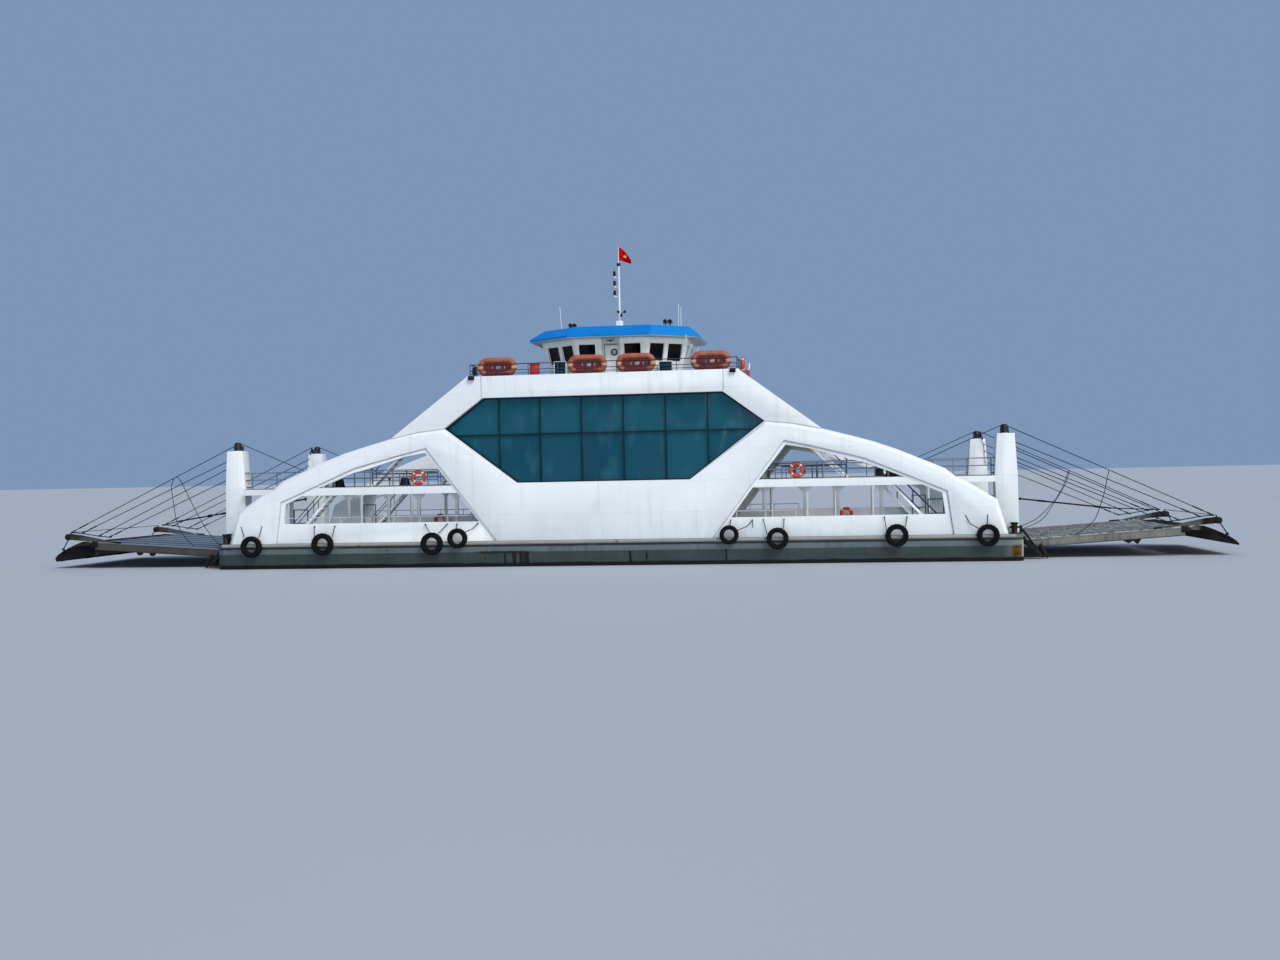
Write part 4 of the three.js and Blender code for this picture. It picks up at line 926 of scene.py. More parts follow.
# %% [markdown]
# The strake is a half-round rubbing bar along the deck edge. Worn tyres hang over it on short ropes
# from hooks in the side. One tyre is modelled as a section spun round its axle: a tread, two bulging
# walls and a hollow inside. Every second block of the tread is pressed in, and copies take the size
# that each tyre has.

# %% Strake and tyres
STRAKE = {"low": 1.11, "high": 1.28, "out": 0.1, "reach": 19.6, "inner": 7.0006}
TYRE_MIDDLE_Y = -7.2
# Radius and place across the tyre, for a tyre 1 m across.
TYRE_SECTION = [
    (0.27, -0.085), (0.3, -0.115), (0.38, -0.14), (0.455, -0.13), (0.487, -0.105), (0.5, -0.06), (0.5, 0.06),
    (0.487, 0.105), (0.455, 0.13), (0.38, 0.14), (0.3, 0.115), (0.27, 0.085), (0.3, 0.07), (0.41, 0.075),
    (0.44, 0.0), (0.41, -0.075), (0.3, -0.07),
]
# Each tyre's x, z and diameter.
TYRES = [
    (-17.99, 1.16, 1.09), (-14.24, 1.24, 1.13), (-8.59, 1.2, 1.13), (-7.28, 1.45, 1.0),
    (6.16, 1.44, 0.93), (8.48, 1.23, 1.06), (14.1, 1.3, 1.09), (18.31, 1.25, 1.05),
]
TYRE_BLOCKS = 36
TREAD_DEPTH = 0.012


def strake():
    middle = (STRAKE["low"] + STRAKE["high"]) / 2
    half = (STRAKE["high"] - STRAKE["low"]) / 2
    turns = [math.pi * step / 10 for step in range(11)]
    section = [
        (-STRAKE["inner"] - STRAKE["out"] * math.sin(turn), middle + half * math.cos(turn)) for turn in turns
    ]
    with piece("strake", strake_grey, "hull", over="sides", replaces=("fender_line_{side}",), angle=30):
        plate(section, -STRAKE["reach"], STRAKE["reach"], "X")


def tyre():
    with modelling("tyre") as obj:
        bpy.ops.mesh.primitive_circle_add(vertices=len(TYRE_SECTION))
        mesh = bmesh.from_edit_mesh(obj.data)
        for vertex, (radius, across) in zip(mesh.verts, TYRE_SECTION):
            vertex.co = (0, across, radius)
        bmesh.update_edit_mesh(obj.data)
        bpy.ops.mesh.spin(steps=TYRE_BLOCKS, angle=2 * math.pi, center=(0, 0, 0), axis=(0, 1, 0))
        bpy.ops.mesh.select_all(action="SELECT")
        bpy.ops.mesh.remove_doubles(threshold=0.0005)
        bpy.ops.mesh.normals_make_consistent(inside=False)
        bpy.ops.mesh.select_mode(type="FACE")
        bpy.ops.mesh.select_all(action="DESELECT")
        mesh = bmesh.from_edit_mesh(obj.data)
        for face in mesh.faces:
            middle = face.calc_center_median()
            block = round((math.atan2(middle.x, middle.z) / math.tau) * TYRE_BLOCKS - 0.5)
            tread = math.hypot(middle.x, middle.z) > 0.47
            face.select_set(tread and block % 2 == 0)
        bmesh.update_edit_mesh(obj.data)
        bpy.ops.mesh.extrude_region_shrink_fatten(TRANSFORM_OT_shrink_fatten={"value": -TREAD_DEPTH})
        bpy.ops.mesh.select_mode(type="VERT")
    return obj


def hang_tyres():
    pattern = tyre()
    hung = []
    for x, z, diameter in TYRES:
        copy = twin(pattern, "hung_tyre")
        copy.scale = (diameter, 1, diameter)
        copy.rotation_euler = (0, 2.4 * x, 0)
        copy.location = (x, TYRE_MIDDLE_Y, z)
        place(copy)
        hung.append(copy)
    bpy.data.objects.remove(pattern)
    whole = joined(hung, "tyres_starboard")
    spread(whole, "tyres", tyre_rubber, "rubber", "sides", replaces=("fender_line_{side}",), angle=40)


strake()
hang_tyres()
print(len(TYRES), "tyres a side")

# %% [markdown]
# Each tyre hangs from iron hooks in the side. Rope is never quite straight here: the longer ends
# sag a little and one spare tail hangs free. The ropes are short chains of thin rods.

# %% Tyre ropes and hooks
# Each rope's x and z from its hook down.
TYRE_ROPES = [
    [(-18.6, 2.16), (-18.42, 1.66)], [(-17.5, 2.16), (-17.62, 1.66)],
    [(-14.74, 2.12), (-14.7, 1.62)], [(-13.67, 2.12), (-13.76, 1.6)],
    [(-8.97, 2.15), (-8.72, 1.72)], [(-7.85, 2.15), (-8.28, 1.7)],
    [(-7.35, 2.15), (-7.34, 1.93)], [(-6.29, 2.16), (-6.55, 1.9), (-6.87, 1.77)],
    [(6.25, 2.14), (6.2, 1.88)], [(7.28, 2.13), (7.02, 1.83), (6.58, 1.65)], [(7.28, 2.13), (7.3, 1.76)],
    [(7.81, 2.14), (7.97, 1.42)], [(8.8, 2.14), (8.77, 1.68)],
    [(13.54, 2.17), (13.62, 1.56)], [(14.6, 2.16), (14.5, 1.64)],
    [(17.31, 2.18), (17.5, 1.8), (17.9, 1.56)], [(18.32, 2.18), (18.31, 1.76)],
]
ROPE_RADIUS = 0.02


def tyre_ropes():
    with piece("tyre_ropes", greasy_black, "rubber", over="sides"):
        for route in TYRE_ROPES:
            x, z = route[0]
            rod((x, -6.86, z), (x, -7.0, z), 0.03)
            points = [(x, -6.97 - 0.1 * step, z) for step, (x, z) in enumerate(route)]
            for start, end in zip(points, points[1:]):
                rod(start, end, ROPE_RADIUS, 6)


tyre_ropes()
print(len(TYRE_ROPES), "ropes a side")

# %% [markdown]
# A grey sealing joint runs where each recessed opening frame meets the arch. Inside the openings the
# ship has thin rails: one over the bulwark and several along the upper deck, where a red life ring
# with white bands hangs. The rails are rods, and the ring is a torus with four bands of its faces
# painted white.

# %% Joints, rails and life rings
RECESS = [
    (5.36, 1.32), (8.87, 5.93), (10.1, 5.65), (12.0, 5.17), (12.65, 4.99), (13.86, 4.47), (16.48, 3.37),
    (16.75, 1.32),
]
BULWARK_RAIL = {"start": 6.51, "y": -6.62, "foot": 2.25, "z": 2.56}
BULWARK_RAIL_ENDS = {"fore": 9.34, "aft": 16.3}
UPPER_RAIL_Y = -6.5
# Each rail's z and radius.
UPPER_RAILS = [(4.39, 0.014), (4.56, 0.014), (4.72, 0.03)]
UPPER_POSTS_X = (8.4, 8.93, 10.17, 10.39, 11.78)
GATE = {"x": (15.73, 16.46), "y": -5.3, "foot": 1.27, "top": 2.95}
RING = {"x": 9.42, "y": -6.47, "z": 4.5, "major": 0.29, "minor": 0.095}
BRIDGE_RING = (6.93, -6.1, 9.68)


def opening_trim():
    with piece("recess_joint", rail_grey, "white"):
        for start, end in zip(RECESS, RECESS[1:]):
            bar(start, end, 0.045, -6.897, -6.875)
    start, y, z = (BULWARK_RAIL[key] for key in ("start", "y", "z"))
    for end, end_sign, side, side_sign in places("corners"):
        with piece("bulwark_rail_" + end + "_" + side, rail_grey, "white", over="one"):
            run = BULWARK_RAIL_ENDS[end] - start
            bays = round(run / 1.4)
            ends = [(end_sign * (start + part * run), side_sign * y) for part in (0, 1)]
            rod((*ends[0], z), (*ends[1], z), 0.022)
            for bay in range(bays + 1):
                post = (end_sign * (start + run * bay / bays), side_sign * y)
                upright(*post, BULWARK_RAIL["foot"] - 0.02, z, 0.02, 6)
    with piece("opening_rails", rail_dark, "wire"):
        for z, radius in UPPER_RAILS:
            rod((UPPER_POSTS_X[0], UPPER_RAIL_Y, z), (UPPER_POSTS_X[-1], UPPER_RAIL_Y, z), radius, 6)
        for x in UPPER_POSTS_X:
            upright(x, UPPER_RAIL_Y, SIDE_DECK_Z, UPPER_RAILS[-1][0], 0.02, 6)
        y, foot, top = GATE["y"], GATE["foot"], GATE["top"]
        for x in GATE["x"]:
            upright(x, y, foot, top + 0.02, 0.03)
        for z in (top, (foot + top) / 2 + 0.15):
            rod((GATE["x"][0], y, z), (GATE["x"][1], y, z), 0.025)


def life_ring(name, x, y, z, across=False):
    turn = (0, math.pi / 2, 0) if across else (math.pi / 2, 0, 0)
    with modelling(name) as ring:
        bpy.ops.mesh.primitive_torus_add(
            location=(x, y, z), rotation=turn, major_segments=64, minor_segments=10,
            major_radius=RING["major"], minor_radius=RING["minor"],
        )
    ring.data.materials.append(ring_red.material)
    ring.data.materials.append(band_white.material)
    for face in ring.data.polygons:
        away = face.center - Vector((x, y, z))
        turned = math.atan2(away.z, away.y if across else away.x) + math.pi / 4
        face.material_index = int(abs((turned % (math.pi / 2)) - math.pi / 4) > math.pi / 4 - 0.09)
    settle(ring, None)


def hang_rings():
    x, y, z = RING["x"], RING["y"], RING["z"]
    for end, end_sign, side, side_sign in places("corners"):
        life_ring("life_ring_" + end + "_" + side, end_sign * x, side_sign * y, z)
    for end, end_sign in ENDS:
        life_ring("lane_ring_" + end, end_sign * 12.07, 6.3, 1.95)
    life_ring("bridge_ring", *BRIDGE_RING, across=True)


opening_trim()
hang_rings()
print("rings at", RING["x"], RING["z"])

# %% [markdown]
# The stairs are narrow flights of steel treads between two white stringers, with a dark tube
# handrail on each side. They are modelled once, from the same run and rise as the solid flights, and
# mirrored to the four corners.

# %% Stairs
# Each flight's foot, head and number of steps.
FLIGHTS = [((16.2, 1.281), (13.7, 4.07), 12), ((11.9, 4.0506), (9.7, 6.3), 10)]
STAIR_Y = (-6.44, -5.8)
HANDRAIL_HEIGHT = 0.85


def stairs():
    outer, inner = STAIR_Y
    with piece("stair_treads", tread_grey, "white", 0.006, replaces=("stairs_{end}_{side}",)):
        for foot, head, steps in FLIGHTS:
            for step in range(1, steps):
                x, z = between(foot, head, step / steps)
                slab((x - 0.1, outer, z - 0.02), (x + 0.1, inner, z + 0.01))
        slab((11.8, outer, 4.0506), (13.78, inner, 4.0686))
    with piece("stair_stringers", white, "white", replaces=("stairs_{end}_{side}",)):
        for (x0, z0), (x1, z1), _ in FLIGHTS:
            for y in STAIR_Y:
                bar((x0 - 0.02, z0 + 0.05), (x1 + 0.02, z1 - 0.1), 0.12, y - 0.018, y + 0.018)
    with piece("stair_handrails", rail_dark, "wire"):
        for foot, head, _ in FLIGHTS:
            for y in STAIR_Y:
                (x0, z0), (x1, z1) = foot, head
                rod((x0, y, z0 + HANDRAIL_HEIGHT), (x1, y, z1 + HANDRAIL_HEIGHT - 0.2), 0.022)
                for part in (0.03, 0.5, 0.93):
                    x, z = between(foot, head, part)
                    upright(x, y, z, z + HANDRAIL_HEIGHT - 0.2 * part, 0.018, 6)


stairs()
print("flights of", [steps for *_, steps in FLIGHTS], "steps")

# %% [markdown]
# Hoist wires run from sheaves in the tower heads to the tips of the ramp's arms. Each corner has four
# wires in one plane, with a bottle screw in each. A black link and a white strap beside the tower
# join them at the head, a dark bar joins them at the foot, and eyes on the ramp's side meet them
# there. The wires turn with the tower heads, so all but the eyes ride on the hoist.

# %% Hoist wires
HOIST_Y = -5.05
# Each wire's x and z at the tower, and at the ramp.
HOIST_WIRES = [
    (19.5, 6.45, 29.0, 1.95), (19.74, 5.72, 28.4, 1.9), (19.76, 5.33, 27.45, 1.74), (19.79, 4.74, 26.85, 1.68)
]
STRAP_TOP = (19.64, 6.04)
WIRE_RADIUS = 0.02


def hoist_wires():
    with piece("hoist", wire_rope, "wire", body="hoist_{end}", replaces=("hoist_wires_{end}_{side}",)):
        for wire in HOIST_WIRES:
            for low, high, radius in ((0, 1, WIRE_RADIUS), (0.9, 0.95, 0.034), (0.97, 0.99, 0.034)):
                (x0, z0), (x1, z1) = (between(wire[:2], wire[2:], part) for part in (low, high))
                rod((x0, HOIST_Y, z0), (x1, HOIST_Y, z1), radius, 6)
        bar(HOIST_WIRES[0][:2], STRAP_TOP, 0.07, HOIST_Y - 0.02, HOIST_Y + 0.02)
    with piece("hoist_strap", white, "white", 0.004, body="hoist_{end}"):
        heads = [STRAP_TOP] + [(x, z) for x, z, *_ in HOIST_WIRES[1:]]
        for start, end in zip(heads, heads[1:]):
            bar(start, end, 0.07, HOIST_Y - 0.02, HOIST_Y + 0.02)
        for x, z in heads:
            rod((x, HOIST_Y - 0.02, z), (x, HOIST_Y + 0.02, z), 0.05, 12)
    with piece("hoist_foot_bar", flap_dark, "ramp_steel", 0.004, body="hoist_{end}"):
        feet = [(x, z) for *_, x, z in HOIST_WIRES]
        for start, end in zip(feet, feet[1:]):
            bar(start, end, 0.045, HOIST_Y - 0.015, HOIST_Y + 0.015)
    with piece("ramp_eyes", flap_dark, "ramp_steel", 0.006, body="ramp_{end}"):
        for x, z in feet:
            rod((x, -4.85, z), (x, HOIST_Y + 0.035, z), 0.045, 10)


hoist_wires()
print("wires from", HOIST_WIRES[0][:2], "to", HOIST_WIRES[0][2:])

# %% [markdown]
# A ramp is a steel deck on two box girders with cross beams, and a curved arm at each side of its
# tip. The roadway's bars are real bars here: diagonal on the fore ramp, lengthwise and dark on the
# aft one. They are laid out on the ramp's own level frame and then turned to its slope. The aft
# roadway is an even pale tone and the fore one is worn in patches. The fore girders are beige and
# the aft ones brown, darkened further as painted shade, the arms are darker, and their feet are black.

# %% Ramps
RAMP = {"hinge": (20.3, 0.75), "slope": 0.0655, "half": 4.9, "length": 7.45, "top": 0.17}
BAR_PITCH = 0.42
LONG_BAR_PITCH = 1.37
ARMS_START = 28.35


def ramp_finish():
    finish = Finish("ramp_paint", (0.13, 0.13, 0.115), 0.78, fixed={"Specular IOR Level": 0.06})
    x, y, z = finish.axes()
    out = abs(x)
    above = z - RAMP["hinge"][1] - (out - RAMP["hinge"][0]) * RAMP["slope"]
    cloud = finish.noise(1.3, 5).ramp(0.35, 0.7)
    fore = x.ramp(-1, 1)
    # The aft girders are brown, darkened as painted shade.
    shaded_aft_girder = finish.blend(cloud * 0.7, (0.066, 0.063, 0.056), (0.09, 0.084, 0.074))
    fore_girder = finish.blend(cloud * 0.7, (0.19, 0.185, 0.165), (0.26, 0.25, 0.225))
    girder = finish.blend(fore, shaded_aft_girder, fore_girder)
    runs = finish.noise(0.2, 4, (1, 1, 0.2)).ramp(0.56, 0.72)
    girder = finish.blend(runs * 0.4, girder, (0.07, 0.042, 0.026))
    tracks = abs(abs(y) - 2.1).ramp(1.3, 0.5)
    aft_road = finish.blend(cloud, (0.15, 0.205, 0.26), (0.185, 0.245, 0.3))
    patches = finish.noise(0.24, 2, (1, 0.2, 1)).ramp(0.46, 0.54)
    fore_road = finish.blend(patches, (0.08, 0.084, 0.084), (0.56, 0.57, 0.55))
    road = finish.blend(fore, aft_road, fore_road)
    road = finish.blend(tracks * cloud * 0.4, road, (0.1, 0.1, 0.095))
    finish.colour = girder
    finish.coat(above.ramp(RAMP["top"] - 0.03, RAMP["top"] - 0.015), road)
    lip = abs(y).ramp(RAMP["half"] - 0.1, RAMP["half"] - 0.08) * above.ramp(0.125, 0.135)
    lip_tone = finish.blend(fore, (0.17, 0.17, 0.16), (0.36, 0.36, 0.34))
    finish.coat(lip * 0.5, lip_tone)
    raised = above.ramp(RAMP["top"] + 0.02, RAMP["top"] + 0.05)
    finish.coat(raised * 0.9, (0.07, 0.068, 0.062))
    rusty = finish.noise(0.5, 4).ramp(0.4, 0.6)
    aft_arm = finish.blend(rusty, (0.05, 0.045, 0.037), (0.085, 0.045, 0.024))
    fore_arm = finish.blend(rusty, (0.018, 0.015, 0.013), (0.034, 0.019, 0.011))
    arm = finish.blend(fore, aft_arm, fore_arm)
    finish.coat(out.ramp(ARMS_START, ARMS_START + 0.3), arm)
    finish.coat(above.ramp(-0.18, -0.26) * finish.noise(0.3).ramp(0.2, 0.4), NEARLY_BLACK)
    spots = finish.noise(0.35, 5).ramp(0.6, 0.7)
    finish.coat(spots * 0.5, DARK_RUST)
    finish.set("Roughness", 0.68 + spots * 0.2)
    finish.relief(finish.noise(0.06) * 0.4 + spots * 0.5, 0.01)
    return finish


@contextmanager
def ramp_piece(stem, end, finish, slot, bevel=0, body="ramp_"):
    """Opens a piece on the ramp's own frame, then brings it to the ramp at that end of the ship."""
    with modelling(stem + end) as obj:
        yield
    if bevel:
        bevelled(obj, bevel)
    obj.rotation_euler = (0, -math.atan(RAMP["slope"]), 0)
    obj.location = (RAMP["hinge"][0], 0, RAMP["hinge"][1])
    place(obj)
    if end == "aft":
        fore = obj
        obj = twin(fore, fore.name, -1, 1)
        bpy.data.objects.remove(fore)
    settle(obj, finish, body + end)


def diagonal_bars(low, high, half, top):
    """Flat bars at 45 degrees over a rectangle, each cut to it."""
    offset = low - half
    while offset < high + half:
        for lean in (1, -1):
            start = max(low, offset - half)
            end = min(high, offset + half)
            if end - start > 0.1:
                points = [(x, lean * (x - offset), top) for x in (start, end)]
                rod(*points, 0.012, 4)
        offset += BAR_PITCH


def roadway(end):
    top = RAMP["top"]
    with ramp_piece("roadway_bars_", end, bar_steel if end == "fore" else groove_steel, "ramp_steel"):
        if end == "fore":
            diagonal_bars(0.3, RAMP["length"] - 0.1, RAMP["half"] - 0.25, top)
        else:
            for step in range(-3, 4):
                y = step * LONG_BAR_PITCH
                rod((0.3, y, top), (RAMP["length"] - 0.1, y, top), 0.03, 4)


def ramp_details(end):
    half = RAMP["half"]
    with ramp_piece("ramp_ribs_", end, ramp_paint, "ramp_steel"):
        for side in (-1, 1):
            for step in range(1, 9):
                x = step * 0.83
                slab((x - 0.015, side * half - 0.02, -0.22), (x + 0.015, side * half + 0.02, 0.13))
            y = side * (half + 0.01)
            for low, high in ((0.115, 0.15), (-0.25, -0.215)):
                slab((0.1, y - 0.012, low), (7.3, y + 0.012, high))
    with ramp_piece("ramp_rollers_", end, greasy_black, "dark_steel", 0.012):
        for side in (-1, 1):
            y = side * 4.72
            rod((9.02, y - 0.225, 0.36), (9.02, y + 0.225, 0.36), 0.165, 16)
            rod((9.02, y - 0.245, 0.36), (9.02, y + 0.245, 0.36), 0.06, 10)
            rod((7.62, side * 4.5, 0.02), (7.62, side * 4.93, 0.02), 0.13, 12)
        rod((8.98, -4.7, 0.6), (8.98, 4.7, 0.6), 0.018, 6)
        for side in (-1, 1):
            upright(8.98, side * 4.7, 0.4, 0.62, 0.03, 8)


FLAP_CHEEK = [
    (7.75, 0.14), (8.44, 0.135), (8.93, -0.09), (9.53, -0.42), (9.9, -0.71), (9.86, -0.77), (8.9, -0.17),
    (7.75, 0.0),
]


def ramp_tip(end):
    with ramp_piece("flap_cheeks_", end, ramp_paint, "ramp_steel", 0.012, "flap_"):
        for side in (-1, 1):
            plate(FLAP_CHEEK, *sorted((side * 4.38, side * 4.45)))
    with ramp_piece("ramp_tip_gear_", end, greasy_black, "dark_steel", 0.01):
        for side in (-1, 1):
            slab((7.3, side * 4.86, -0.09), (7.6, side * 4.95, 0.22))
            slab((6.05, side * 4.78, 0.165), (6.6, side * 4.86, 0.25))
            rod((9.1, side * 4.6, 0.32), (9.45, side * 4.6, -0.34), 0.03)
            rod((9.44, side * 4.56, -0.33), (9.44, side * 4.64, -0.33), 0.07, 12)


ramp_paint = ramp_finish()
for end, _ in ENDS:
    rounded("ramp_" + end, ramp_paint, 0.012, False, "ramp_" + end)
    rounded("ramp_flap_" + end, flap_dark, 0.02, False, "flap_" + end)
    roadway(end)
    ramp_details(end)
    ramp_tip(end)
print("ramps", RAMP["length"], "m long")

# %% [markdown]
# Oval life floats stand on edge in a rack on each side of the bridge deck. A float is a fat orange
# ring stretched to an oval, with lighter bands, grab lines and a dark red slatted floor, and a dark
# red bar covers the ring's lower side.

# %% Life floats
FLOATS_X = (-5.32, -0.76, 1.67, 5.37)
FLOAT = {"y": -6.2, "z": 9.936, "reach": 0.51, "major": 0.3425, "minor": 0.142}


def oval(x):
    bpy.ops.mesh.primitive_torus_add(
        location=(x, FLOAT["y"], FLOAT["z"]), rotation=(math.pi / 2, 0, 0), major_segments=28,
        minor_segments=12, major_radius=FLOAT["major"], minor_radius=FLOAT["minor"],
    )
    mesh = bmesh.from_edit_mesh(bpy.context.object.data)
    for vertex in mesh.verts:
        if vertex.select:
            vertex.co.x += math.copysign(FLOAT["reach"], vertex.co.x - x - 0.001)
    bmesh.update_edit_mesh(bpy.context.object.data)


def life_floats():
    y, z = FLOAT["y"], FLOAT["z"]
    low = z - FLOAT["major"]
    rings = ("life_floats_{side}",)
    with piece("float_rings", float_orange, "orange", over="sides", replaces=rings, angle=60):
        for x in FLOATS_X:
            oval(x)
    with piece("float_bands", float_tape, "orange", over="sides"):
        for x in FLOATS_X:
            for reach in (-FLOAT["major"] - FLOAT["reach"], FLOAT["major"] + FLOAT["reach"]):
                upright(x + reach, y, z - 0.08, z + 0.04, 0.146, 12)
    with piece("float_labels", label_grey, "orange", 0.004, "sides"):
        for x in FLOATS_X:
            for away, width in ((-0.04, 0.22), (-0.26, 0.04), (0.36, 0.04)):
                slab((x + away, y - 0.05, z - 0.1), (x + away + width, y - 0.034, z + 0.04))
    with piece("float_floors", float_red, "orange", over="sides"):
        for x in FLOATS_X:
            for step in range(-7, 8):
                slat = x + step * 0.095
                slab((slat - 0.034, y - 0.035, z - 0.25), (slat + 0.034, y - 0.005, z + 0.25))
            slab((x - 0.72, y, z - 0.22), (x + 0.72, y + 0.03, z + 0.22))
            for line_z in (z - 0.12, z + 0.12):
                rod((x - 0.75, y - 0.04, line_z), (x + 0.75, y - 0.04, line_z), 0.015, 6)
            rod((x - 0.6, y, low), (x + 0.6, y, low), 0.146, 12)
    with piece("float_rack", rail_dark, "wire", over="sides"):
        for rack_y in (-6.3, -6.1):
            rod((-6.2, rack_y, 9.452), (6.2, rack_y, 9.452), 0.028)
        for x in FLOATS_X:
            for post_x in (x - 0.5, x + 0.5):
                rod((post_x, -6.0, 9.43), (post_x, -6.03, 10.2), 0.02)
                rod((post_x, -6.0, 9.46), (post_x, -6.38, 9.46), 0.02)


life_floats()
print("floats at", FLOATS_X)

# %% [markdown]
# Thin tube rails guard the bridge deck. Stanchions stand along each side and across the ends and
# carry three rails. They replace the square bars of the solid railing.

# %% Bridge rail
BRIDGE_RAIL = {"x": 6.655, "y": 6.445, "foot": 9.422}
# Each rail's z and radius, from the top down.
BRIDGE_TUBES = [(10.055, 0.024), (9.76, 0.018), (9.6, 0.014)]


def bridge_rail():
    x, y, foot = BRIDGE_RAIL["x"], BRIDGE_RAIL["y"], BRIDGE_RAIL["foot"]
    top = BRIDGE_TUBES[0][0]
    corners = [(-x, -y), (x, -y), (x, y), (-x, y)]
    with piece("bridge_rail_tubes", rail_dark, "white", over="one", replaces=("bridge_rail",)):
        for start, end in zip(corners, corners[1:] + corners[:1]):
            for z, radius in BRIDGE_TUBES:
                rod((*start, z), (*end, z), radius)
            for step in range(9):
                post = between(start, end, step / 9)
                upright(*post, foot, top, 0.02)
                upright(*post, foot, foot + 0.02, 0.05)


bridge_rail()
print("rail top", BRIDGE_TUBES[0][0])

# %% [markdown]
# The flag is a small sheet of cloth, and the wind has half furled it. A grid is shaped to the
# outline, which narrows towards the free end, and the cloth that the narrowing takes up lies in deep
# folds. Its star is found by five straight edges: a point is inside the star where at least four of
# the edges have it on their inner side.

# %% Flag
FLAG = {"hoist": 0.022, "top": 16.74, "low": 16.05, "length": 0.68}
FLAG_FOLDS = 2
STAR = {"x": 0.37, "z": 16.24, "radius": 0.13}


def flag_finish():
    finish = Finish("flag_cloth", (0.62, 0.003, 0.006), 0.85, fixed={"Specular IOR Level": 0.1})
    x, y, z = finish.axes()
    inside = x * 0.0
    for point in range(5):
        turn = math.radians(90 + 72 * point + 36)
        along_edge = (x - STAR["x"]) * math.cos(turn) + (z - STAR["z"]) * math.sin(turn)
        reach = STAR["radius"] * math.cos(math.radians(72))
        inside = inside + along_edge.ramp(reach + 0.004, reach - 0.004)
    # Painted shade: cloudy patches of darker red stand for the shade in the cloth's folds.
    fold = finish.noise(0.2, 2).ramp(0.35, 0.7)
    finish.coat(fold * 0.5, (0.42, 0.002, 0.005))
    finish.coat(inside.ramp(3.4, 3.6), (0.85, 0.68, 0.16))
    weave = seam_lines(x, 0.012, 0.004).most(seam_lines(z, 0.012, 0.004))
    finish.relief(weave + fold, 0.003)
    return finish


def flag_point(along_flag, up):
    """A point of the cloth: 0 to 1 from hoist to fly, and 0 to 1 from foot to head."""
    width = FLAG["top"] - FLAG["low"]
    foot = FLAG["low"] - 0.24 * along_flag
    height = FLAG["top"] - 0.75 * along_flag ** 1.6 - foot
    fold = math.sqrt(max(0, width ** 2 - height ** 2)) / (4 * FLAG_FOLDS)
    y = fold * math.sin(math.tau * FLAG_FOLDS * up) + 0.05 * along_flag * math.sin(5 * along_flag)
    return Vector((FLAG["hoist"] + FLAG["length"] * along_flag, y, foot + up * height))


def fly_flag():
    bpy.ops.object.select_all(action="DESELECT")
    bpy.ops.mesh.primitive_grid_add(x_subdivisions=24, y_subdivisions=32, size=1)
    cloth = bpy.context.object
    cloth.name = "flag_cloth"
    for vertex in cloth.data.vertices:
        vertex.co = flag_point(vertex.co.x + 0.5, vertex.co.y + 0.5)
    modify(cloth, "SOLIDIFY", thickness=0.006, offset=0)
    settle(cloth, flag_finish(), replaces=("flag",))
    return cloth


flag_cloth = fly_flag()
print("flag", FLAG["length"], "m long")

# %% [markdown]
# The wheelhouse has small fittings that give it its scale: a round porthole and a handle in each
# door, lamps over them, wipers, and low dark cabinets with pale frames at the foot of its corners.
# A valve wheel stands beside it. The door fittings ride on the doors.

# %% Wheelhouse fittings
PORTHOLE = {"x": 0.12, "z": 10.8, "radius": 0.15, "y": -3.0}
# Each cabinet's two ends and its top.
CABINETS = [(-2.99, -2.42, 10.34), (2.48, 3.13, 10.2)]


def ring_of(x, y, z, radius, thick):
    bpy.ops.mesh.primitive_torus_add(
        location=(x, y, z), rotation=(math.pi / 2, 0, 0), major_segments=24, minor_segments=8,
        major_radius=radius, minor_radius=thick,
    )


def door_fittings():
    x, y, z = PORTHOLE["x"], PORTHOLE["y"], PORTHOLE["z"]
    with modelling("porthole_rim") as rim:
        ring_of(x, y, z, PORTHOLE["radius"], 0.035)
        ring_of(x, y + 0.05, z, PORTHOLE["radius"], 0.02)
        rod((0.29, y, 10.35), (0.29, y - 0.07, 10.35), 0.014)
        rod((0.29, y - 0.06, 10.35), (0.18, y - 0.06, 10.35), 0.012)
    with modelling("porthole_pane") as pane:
        rod((x, y - 0.012, z), (x, y + 0.055, z), PORTHOLE["radius"] - 0.01, 24)
    bevelled(pane, 0.004)
    for obj, finish, slot in ((rim, greasy_black, "dark_steel"), (pane, rail_grey, "glass")):
        name = obj.name
        other = twin(obj, name + "_port", -1, -1)
        obj.name = name + "_starboard"
        settle(obj, finish, "door_starboard")
        settle(other, finish, "door_port")


def house_fittings():
    with piece("house_lamps", greasy_black, "dark_steel", over="sides"):
        slab((-0.2, -3.53, 11.36), (0.2, -3.42, 11.4))
        upright(0, -3.5, 11.36, 11.3, 0.05)
        for x in (-1.12, 1.24):
            rod((x - 0.1, -3.42, 11.14), (x + 0.12, -3.33, 10.7), 0.012, 6)
    with piece("cabinets", window_dark, "dark_steel", 0.02, "sides"):
        for low, high, top in CABINETS:
            slab((low, -3.25, 9.43), (high, -2.85, top))
    with piece("cabinet_frames", band_white, "white", 0.01, "sides"):
        for low, high, top in CABINETS:
            for x in (low - 0.02, high + 0.02):
                slab((x - 0.02, -3.28, 9.422), (x + 0.02, -2.83, top + 0.03))
            slab((low - 0.04, -3.28, top), (high + 0.04, -2.83, top + 0.05))
    with piece("valve_wheel", band_white, "white", over="sides"):
        ring_of(2.02, -5.9, 9.88, 0.14, 0.02)
        upright(2.02, -5.9, 9.43, 9.75, 0.02)
        rod((1.9, -5.9, 9.88), (2.14, -5.9, 9.88), 0.012, 6)


door_fittings()
house_fittings()
print("porthole", 2 * PORTHOLE["radius"], "m across")

